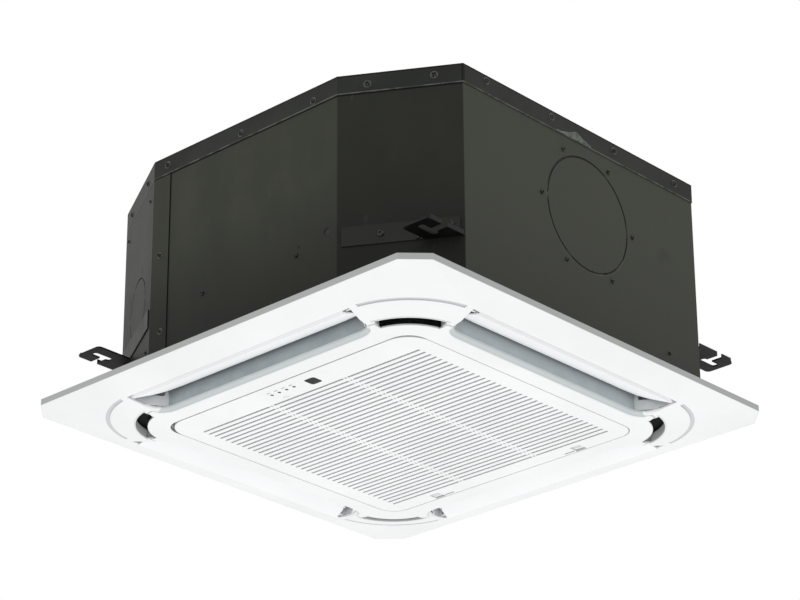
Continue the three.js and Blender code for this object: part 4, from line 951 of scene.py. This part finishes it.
collars = mesh_piece("collars", four_sides(stack([outlet_at(-42, 6), outlet_at(-30, 6)])), panel_white)
combine(collars, stack(whole_rings, True), "INTERSECT")
collar_shape = ([tuple(c / mm for c in v.co) for v in collars.data.vertices],
                [tuple(p.vertices) for p in collars.data.polygons])
bpy.data.objects.remove(collars)
join(panel, collar_shape)

hinge_y, hinge_z = -296.3, -37
hinge_middles = (-200, 200)
supports = [lathe([(0.1, -40), (7.9, -40), (7.9, 7.7), (0.1, 7.7)], 32, (x, y, 0))
            for x, y in ((306, -306), (306, 306), (-306, 306), (-306, -306))]
join(panel, merged(supports))
stem_places = [centre + hand * 8 for centre in hinge_middles for hand in (-1, 1)]
arms = [block(x - 1.5, x + 1.5, -304, hinge_y + 3, hinge_z + 5, hinge_z + 9) for x in stem_places]
join(panel, merged(arms))
stems = [block(x - 1.5, x + 1.5, hinge_y - 2.4, hinge_y + 3, hinge_z - 1.7, hinge_z + 9)
         for x in stem_places]
join(panel, merged(stems))

outlet = stack([outlet_at(-45, 11), outlet_at(-34, 0), outlet_at(9, 0)])
groove = prism(corner_arc(262, 150.2, 157.8, 0.62), crease_z - 4, crease_z + 1.3)
slot = prism(corner_arc(slot_middle, 91, 113, 0.57), plateau_z - 4, plateau_z + 20)
cut(panel, four_sides(outlet, groove, slot))
flares = []
for hand in (-1, 1):
    near, tip = corner_turn + hand * 0.55, corner_turn + hand * 0.63
    spots = [(slot_middle + r * cos(a), -slot_middle + r * sin(a))
             for r, a in ((92, near), (112.6, near), (111, tip))]
    flares.append(prism(spots, plateau_z - 4, plateau_z + 2.4))
cut(panel, four_sides(*flares))
reliefs = [block(x0, x1, -410.4, -403.6, -25.2, 0) for x0, x1 in ((-278, -267), (267, 278))]
cut(panel, four_sides(*reliefs))
cut(panel, bar_x(2.3, -282, 282, hinge_y, hinge_z))
soften(panel, 0.7)
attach(panel, "body")
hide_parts("panel_frame")


# ---- corner channels
# A curved plastic trough behind each corner outlet, fed through the side windows of the ducts
# next to it. Its outer wall is white like the panel, and the rest is near-black, painted shade
# for the dark inside the outlet.

def channel_paint(s):
    x, y, z = s.axes()
    reach = (x.size() - slot_middle * mm).reach(y.size() - slot_middle * mm)
    cloud = s.grain(40.0, 3.0)
    # Painted shade: all but the outer wall is near-black, standing in for the shade inside the corner
    # outlet.
    dark = cloud.ramp(0.3, 0.7).blend((8, 8, 8), (15, 15, 15))
    pale = reach.ramp(0.0908, 0.0916) * z.ramp(-0.018, -0.022)
    return s.coat(pale.blend(dark, (226, 228, 229)),
                  0.5 + cloud * 0.15, s.grain(700.0, 2.0), 0.1, 0.0004)


channel_plastic = material("channel_plastic", channel_paint, Specular_IOR_Level=0.15)
channel_top = -15
half_turn = 0.615
outside = prism(corner_arc(slot_middle, 88.5, 115.5, half_turn), plateau_z + skin + 0.2, channel_top)
inside = prism(corner_arc(slot_middle, 90.4, 113.6, half_turn - 0.014), plateau_z + skin - 1,
               channel_top - 1.6)
for side in range(4):
    channel = mesh_piece("corner_channel_%d" % (side + 1), to_side(outside, side), channel_plastic)
    cut(channel, to_side(inside, side))
    smooth(channel)
    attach(channel, "body")


# ---- outlet ducts
# Grey plastic ducts that lead the cold air down to each outlet. Their walls show behind the
# louvres, with a bearing hole for the louvre and a side window that feeds the corner outlet.
# Painted shade darkens them towards the top, and painted light lightens the knock-out side's duct
# and the lower edge of each outer wall.

def duct_paint(s):
    x, y, z = s.axes()
    mottle = s.grain(34.0, 4.0)
    low = mottle.ramp(0.32, 0.70).blend((152, 161, 166), (164, 172, 176))
    # Painted shade: the walls darken towards the top, near the louvre.
    colour = z.ramp(-0.026, 0.004).blend(low, (130, 138, 143))
    along, across = x.size().least(y.size()), x.size().most(y.size())
    # Painted light: the knock-out side's duct is lightened.
    colour = (x.ramp(0.30, 0.33) * 0.3).blend(colour, (198, 206, 209))
    colour = along.ramp(0.2388, 0.2410).blend(colour, (206, 210, 212))
    # Painted light: the lower edge of each outer wall is near white, to lift the shade in the gap above
    # the louvre.
    colour = (across.ramp(0.396, 0.404) * z.ramp(-0.004, -0.012)).blend(colour, (238, 239, 240))
    return s.coat(colour, 0.55 + mottle * 0.15, mottle, 0.25, 0.0010)


duct_grey = material("duct_plastic", duct_paint)
side_names = ("display", "knockout", "latch", "pipe")
axis_y, axis_z = -407, -22.5
bearings = ((240, 280), (-280, -240))


def duct_level(z, inner, outer, half, knee, grow):
    """The duct's plan, with a straight slanting end that meets its back wall at a corner."""
    return outlet_ring(z, inner, outer + grow, half, knee, grow, 1, 22)


for side, side_name in enumerate(side_names):
    rings = []
    for grow in (2.5, 0.0):
        level = [duct_level(-29.7, 344, 416, 271, knee_half, grow),
                 duct_level(-12, 344, 416, 271, knee_half, grow),
                 duct_level(7.7, 346, 385, 247, knee_half - 3, grow)]
        for end in (0, -1):
            x, y, z = level[0][end]
            level[0][end] = (x, y, -22.3)
        rings += level if grow else level[::-1]
    duct = mesh_piece("duct_" + side_name, to_side(stack(rings, True), side), duct_grey)
    holes = [bar_x(2.2, x0, x1, axis_y, axis_z) for x0, x1 in bearings]
    cut(duct, to_side(merged(holes), side))
    notches = [block(x0, x1, axis_y - 2.2, axis_y + 2.2, -42, axis_z) for x0, x1 in bearings]
    notches += [block(x0, x1, -376, -350, -11.3, 2.7) for x0, x1 in ((210, 285), (-285, -210))]
    cut(duct, to_side(merged(notches), side))
    smooth(duct)
    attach(duct, "body")
    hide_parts("outlet_duct_" + side_name)


# ---- louvres
# Flat white blades that swing in the outlets, half open as photographed. Comb teeth are moulded
# round their inner corners and a rolled lip outside, and a lug at each end carries the pivot pin.

louvre_tilt = -0.168 + 0.562
outer_half = 259
mid_half = 254
blade_width = 67.4
teeth = 13
pivot_y, pivot_z = 8.1, 5.4


def louvre_plan():
    """The blade's outline, across from its outer edge, with comb teeth round the inner corners."""
    start, middle, end = ((mid_half, blade_width - 42), (mid_half - 1, blade_width),
                          (mid_half - 52, blade_width))

    def spot(t, inset):
        x, y = bow(t, start, middle, end)
        dx, dy = (2 * (b - a) * (1 - t) + 2 * (c - b) * t for a, b, c in zip(start, middle, end))
        length = hypot(dx, dy)
        return (x - dy / length * inset, y + dx / length * inset)

    right = [(outer_half, 0), start]
    for i in range(teeth):
        t = (i + 0.25) / teeth
        right += [spot(t, 0), spot(t, 3.2), spot(t + 0.5 / teeth, 3.2), spot(t + 0.5 / teeth, 0)]
    right.append(end)
    return right + [(-x, y) for x, y in reversed(right)]


def rolled_lip():
    """A thin lip along the outer edge, curved about the pivot so it follows the outlet's edge."""
    ring = [(8.85, radians(a)) for a in range(200, 118, -9)]
    ring += [(8.0, radians(a)) for a in range(119, 201, 9)]
    return stack([[(x, pivot_y + r * cos(a), pivot_z + r * sin(a)) for r, a in ring]
                  for x in (-255, 255)])


blade_white = mottled("blade_plastic", (5.0, 3.0), (0.3, 0.7), (245, 246, 247), (248, 249, 250),
                      (0.5, 0.1), (900.0, 2.0, 0.06, 0.0004), Specular_IOR_Level=0.12)
for side, side_name in enumerate(side_names):
    louvre = mesh_piece("blade_" + side_name, prism(louvre_plan(), 0, 2.5), blade_white)
    join(louvre, rolled_lip())
    for hand in (-1, 1):
        x = hand * (knee_half - 12)
        join(louvre, block(x - 3, x + 3, 2, 14, 0.5, 8.0))
        pin = sorted((x, hand * 272.4))
        join(louvre, bar_x(1.88, pin[0], pin[1], pivot_y, pivot_z))
    place = (Matrix.Rotation(side * pi / 2, 4, "Z")
             @ Matrix.Translation((0, axis_y * mm, axis_z * mm))
             @ Matrix.Rotation(louvre_tilt, 4, "X")
             @ Matrix.Translation((0, -pivot_y * mm, -pivot_z * mm)))
    louvre.data.transform(place)
    soften(louvre, 0.35)
    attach(louvre, "louvre_" + side_name)
    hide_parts("louvre_" + side_name)


# ---- intake grille
# White moulded frame with rows of narrow air slots, split by two cross ribs. It hinges on the
# display side, and carries the filter, the receiver window, four lamps and a button.

first_lamp, lamp_pitch, lamp_y = -55, 18, -270.6
lamp_spots = [(first_lamp + lamp_pitch * i, lamp_y, 0) for i in range(4)]


def grille_paint(s):
    x, y, z = s.axes()
    cloud = s.grain(5.0, 3.0)
    colour = cloud.ramp(0.3, 0.7).blend((239, 240, 241), (244, 245, 246))
    # Painted shade: the walls inside the air slots are greyed.
    slot_wall_shade = z.ramp(-0.0405, -0.0395) * z.ramp(-0.0362, -0.0372)
    colour = (slot_wall_shade * 0.3).blend(colour, (196, 199, 202))
    low_face = z.ramp(-0.0403, -0.0407)
    dash = y.band(-0.2800, 0.0010, 0.0003) * low_face
    marks = sum(x.band(first_lamp * mm + lamp_pitch * mm * i, 0.0036, 0.0006) for i in range(4))
    colour = (dash * marks * 0.85).blend(colour, (112, 116, 119))
    thumb = x.size().band(0.148, 0.0112, 0.0004) * y.band(0.2938, 0.0011, 0.0003)
    colour = (thumb * z.ramp(-0.0390, -0.0395)).blend(colour, (104, 108, 111))
    return s.coat(colour, 0.36 + cloud * 0.1, s.grain(900.0, 2.0), 0.06, 0.0004)


grille_white = material("grille_plastic", grille_paint, Specular_IOR_Level=0.3)
grille_half = 300.4
grille_low_y = -300.5
plate_top = plateau_z + 4


def grille_outline(inset, z):
    half = grille_half - inset
    return round_ring(-half, half, grille_low_y + inset, half, 36.4 - inset, z,
                      corner_steps, 48 - inset)


grille_body = stack([grille_outline(0, plateau_z), grille_outline(0, plate_top + 10)])
grille = mesh_piece("slatted_grille", grille_body, grille_white)
hollow = stack([grille_outline(2.5, plate_top), grille_outline(2.5, plate_top + 12)])
cut(grille, hollow)
ribs = [block(x - 2, x + 2, -241, 271, plate_top - 0.5, -31.0) for x in (-88, 88)]
stud = [(0.05, plate_top - 0.5), (2.5, plate_top - 0.5), (2.5, -33.3), (0.05, -33.3)]
ribs += [lathe(stud, 16, (x, y, 0)) for x, y in ((-62, -256), (59, -247))]
join(grille, merged(ribs))
for x in hinge_middles:
    join(grille, bar_x(4, x - 6, x + 6, hinge_y, hinge_z))
slots = []
slot_rows, first_row, row_pitch = 37, -236.3, 13.83
for row in range(slot_rows):
    y = first_row + row_pitch * row
    for x0, x1 in ((-264, -95), (-92.4, -87.6), (-85, 85), (87.6, 92.4), (95, 264)):
        plan = rounded([(x0, y - 2.5), (x1, y - 2.5), (x1, y + 2.5), (x0, y + 2.5)], 1.6, 2)
        slots.append(prism(plan, plateau_z - 1, plate_top + 1))
cut(grille, merged(slots))
through = (-42, -36)
lamp_hole = [(0.05, -42), (3.3, -42), (3.3, -36), (0.05, -36)]
holes = [stack([round_ring(28.7, 53.3, -278.6, -254.0, 5, z, 6) for z in through])]
holes += [lathe(lamp_hole, 24, spot) for spot in lamp_spots]
holes.append(stack([round_ring(-49.3, -36.7, -250.8, -244.2, 3, z, 6) for z in through]))
cut(grille, merged(holes))
for centre in hinge_middles:
    for x in (centre - 8, centre + 8):
        cut(grille, block(x - 2, x + 2, grille_low_y - 1, hinge_y + 4, plateau_z + 1, -26))
    cut(grille, bar_x(2.3, centre - 12, centre + 12, hinge_y, hinge_z))
for hand in (-1, 1):
    x, thumb_x = hand * 173, hand * 148
    for notch in (block(x - 11.8, x + 11.8, 277.4, 299.4, plateau_z - 1, -26),
                  block(x - 15.5, x + 15.5, 296.4, 301.4, plate_top, -26),
                  block(thumb_x - 11, thumb_x + 11, 293, 294.6, plateau_z - 1, plateau_z + 0.8)):
        cut(grille, notch)
soften(grille, 0.3, 1)
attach(grille, "grille")
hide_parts("intake_grille")


# ---- filter and latches
# A grey mesh filter lies on the back of the grille. Two white latches slide in the edge across
# from the hinges, and stop the grille from swinging down.

def filter_paint(s):
    x, y, z = s.axes()
    weave = (x * 4200.0).wave() * (y * 4200.0).wave()
    dust = s.grain(12.0, 4.0)
    colour = weave.ramp(-0.3, 0.5).blend((118, 123, 126), (150, 155, 158))
    return s.coat((dust.ramp(0.5, 0.8) * 0.3).blend(colour, (140, 142, 140)),
                  0.75 + dust * 0.1, weave, 0.4, 0.0004)


carry_over(material("filter_mesh", filter_paint), "air_filter")
latch_white = mottled("latch_plastic", (40.0, 3.0), (0.3, 0.7), (222, 224, 226), (232, 234, 235),
                      (0.4, 0.1), (700.0, 2.0, 0.1, 0.0004))
carry_over(latch_white, "grille_latch_left", "grille_latch_right", "manual_button")


# ---- display
# A green circuit board behind the display strip, a smoked window over the receiver, and four
# small round lamps, all dark while the unit is off.

def board_paint(s):
    x, y, z = s.axes()
    tracks = (x * 900.0).wave() * (y * 700.0).wave()
    colour = tracks.ramp(0.5, 0.7).blend((38, 92, 58), (70, 128, 84))
    return s.coat(colour, 0.4 + s.grain(90.0, 2.0) * 0.2, tracks, 0.2, 0.0003)


def smoked_paint(s):
    x, y, z = s.axes()
    # Painted sheen: the smoked window lightens in a band across it.
    painted_sheen = (y + x * 0.4).ramp(-0.262, -0.232) * 0.25
    haze = s.grain(120.0, 2.0)
    return s.coat(painted_sheen.blend((9, 10, 11), (70, 74, 80)),
                  0.22 + haze * 0.08, haze, 0.03, 0.0004)


carry_over(material("circuit_board", board_paint), "display_board")
carry_over(material("smoked_window", smoked_paint, Specular_IOR_Level=0.15), "receiver_window")
lamp_profile = [(0.05, -35.6), (3.0, -35.6), (3.0, -40.5), (2.4, -40.8), (1.2, -41.0), (0.05, -41.0)]
bodies = [lathe(lamp_profile, 24, spot) for spot in lamp_spots]
bodies.append(block(-59, 3, -274.2, -267.0, -36.7, -33.3))
lamp_lens = mottled("lamp_lens", (300.0, 2.0), (0.3, 0.7), (22, 23, 25), (38, 39, 41),
                    (0.16, 0.08), (300.0, 2.0, 0.05, 0.0003))
lamps = smooth(mesh_piece("lamp_row", merged(bodies), lamp_lens), 30)
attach(lamps, "grille")
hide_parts("indicator_lenses")
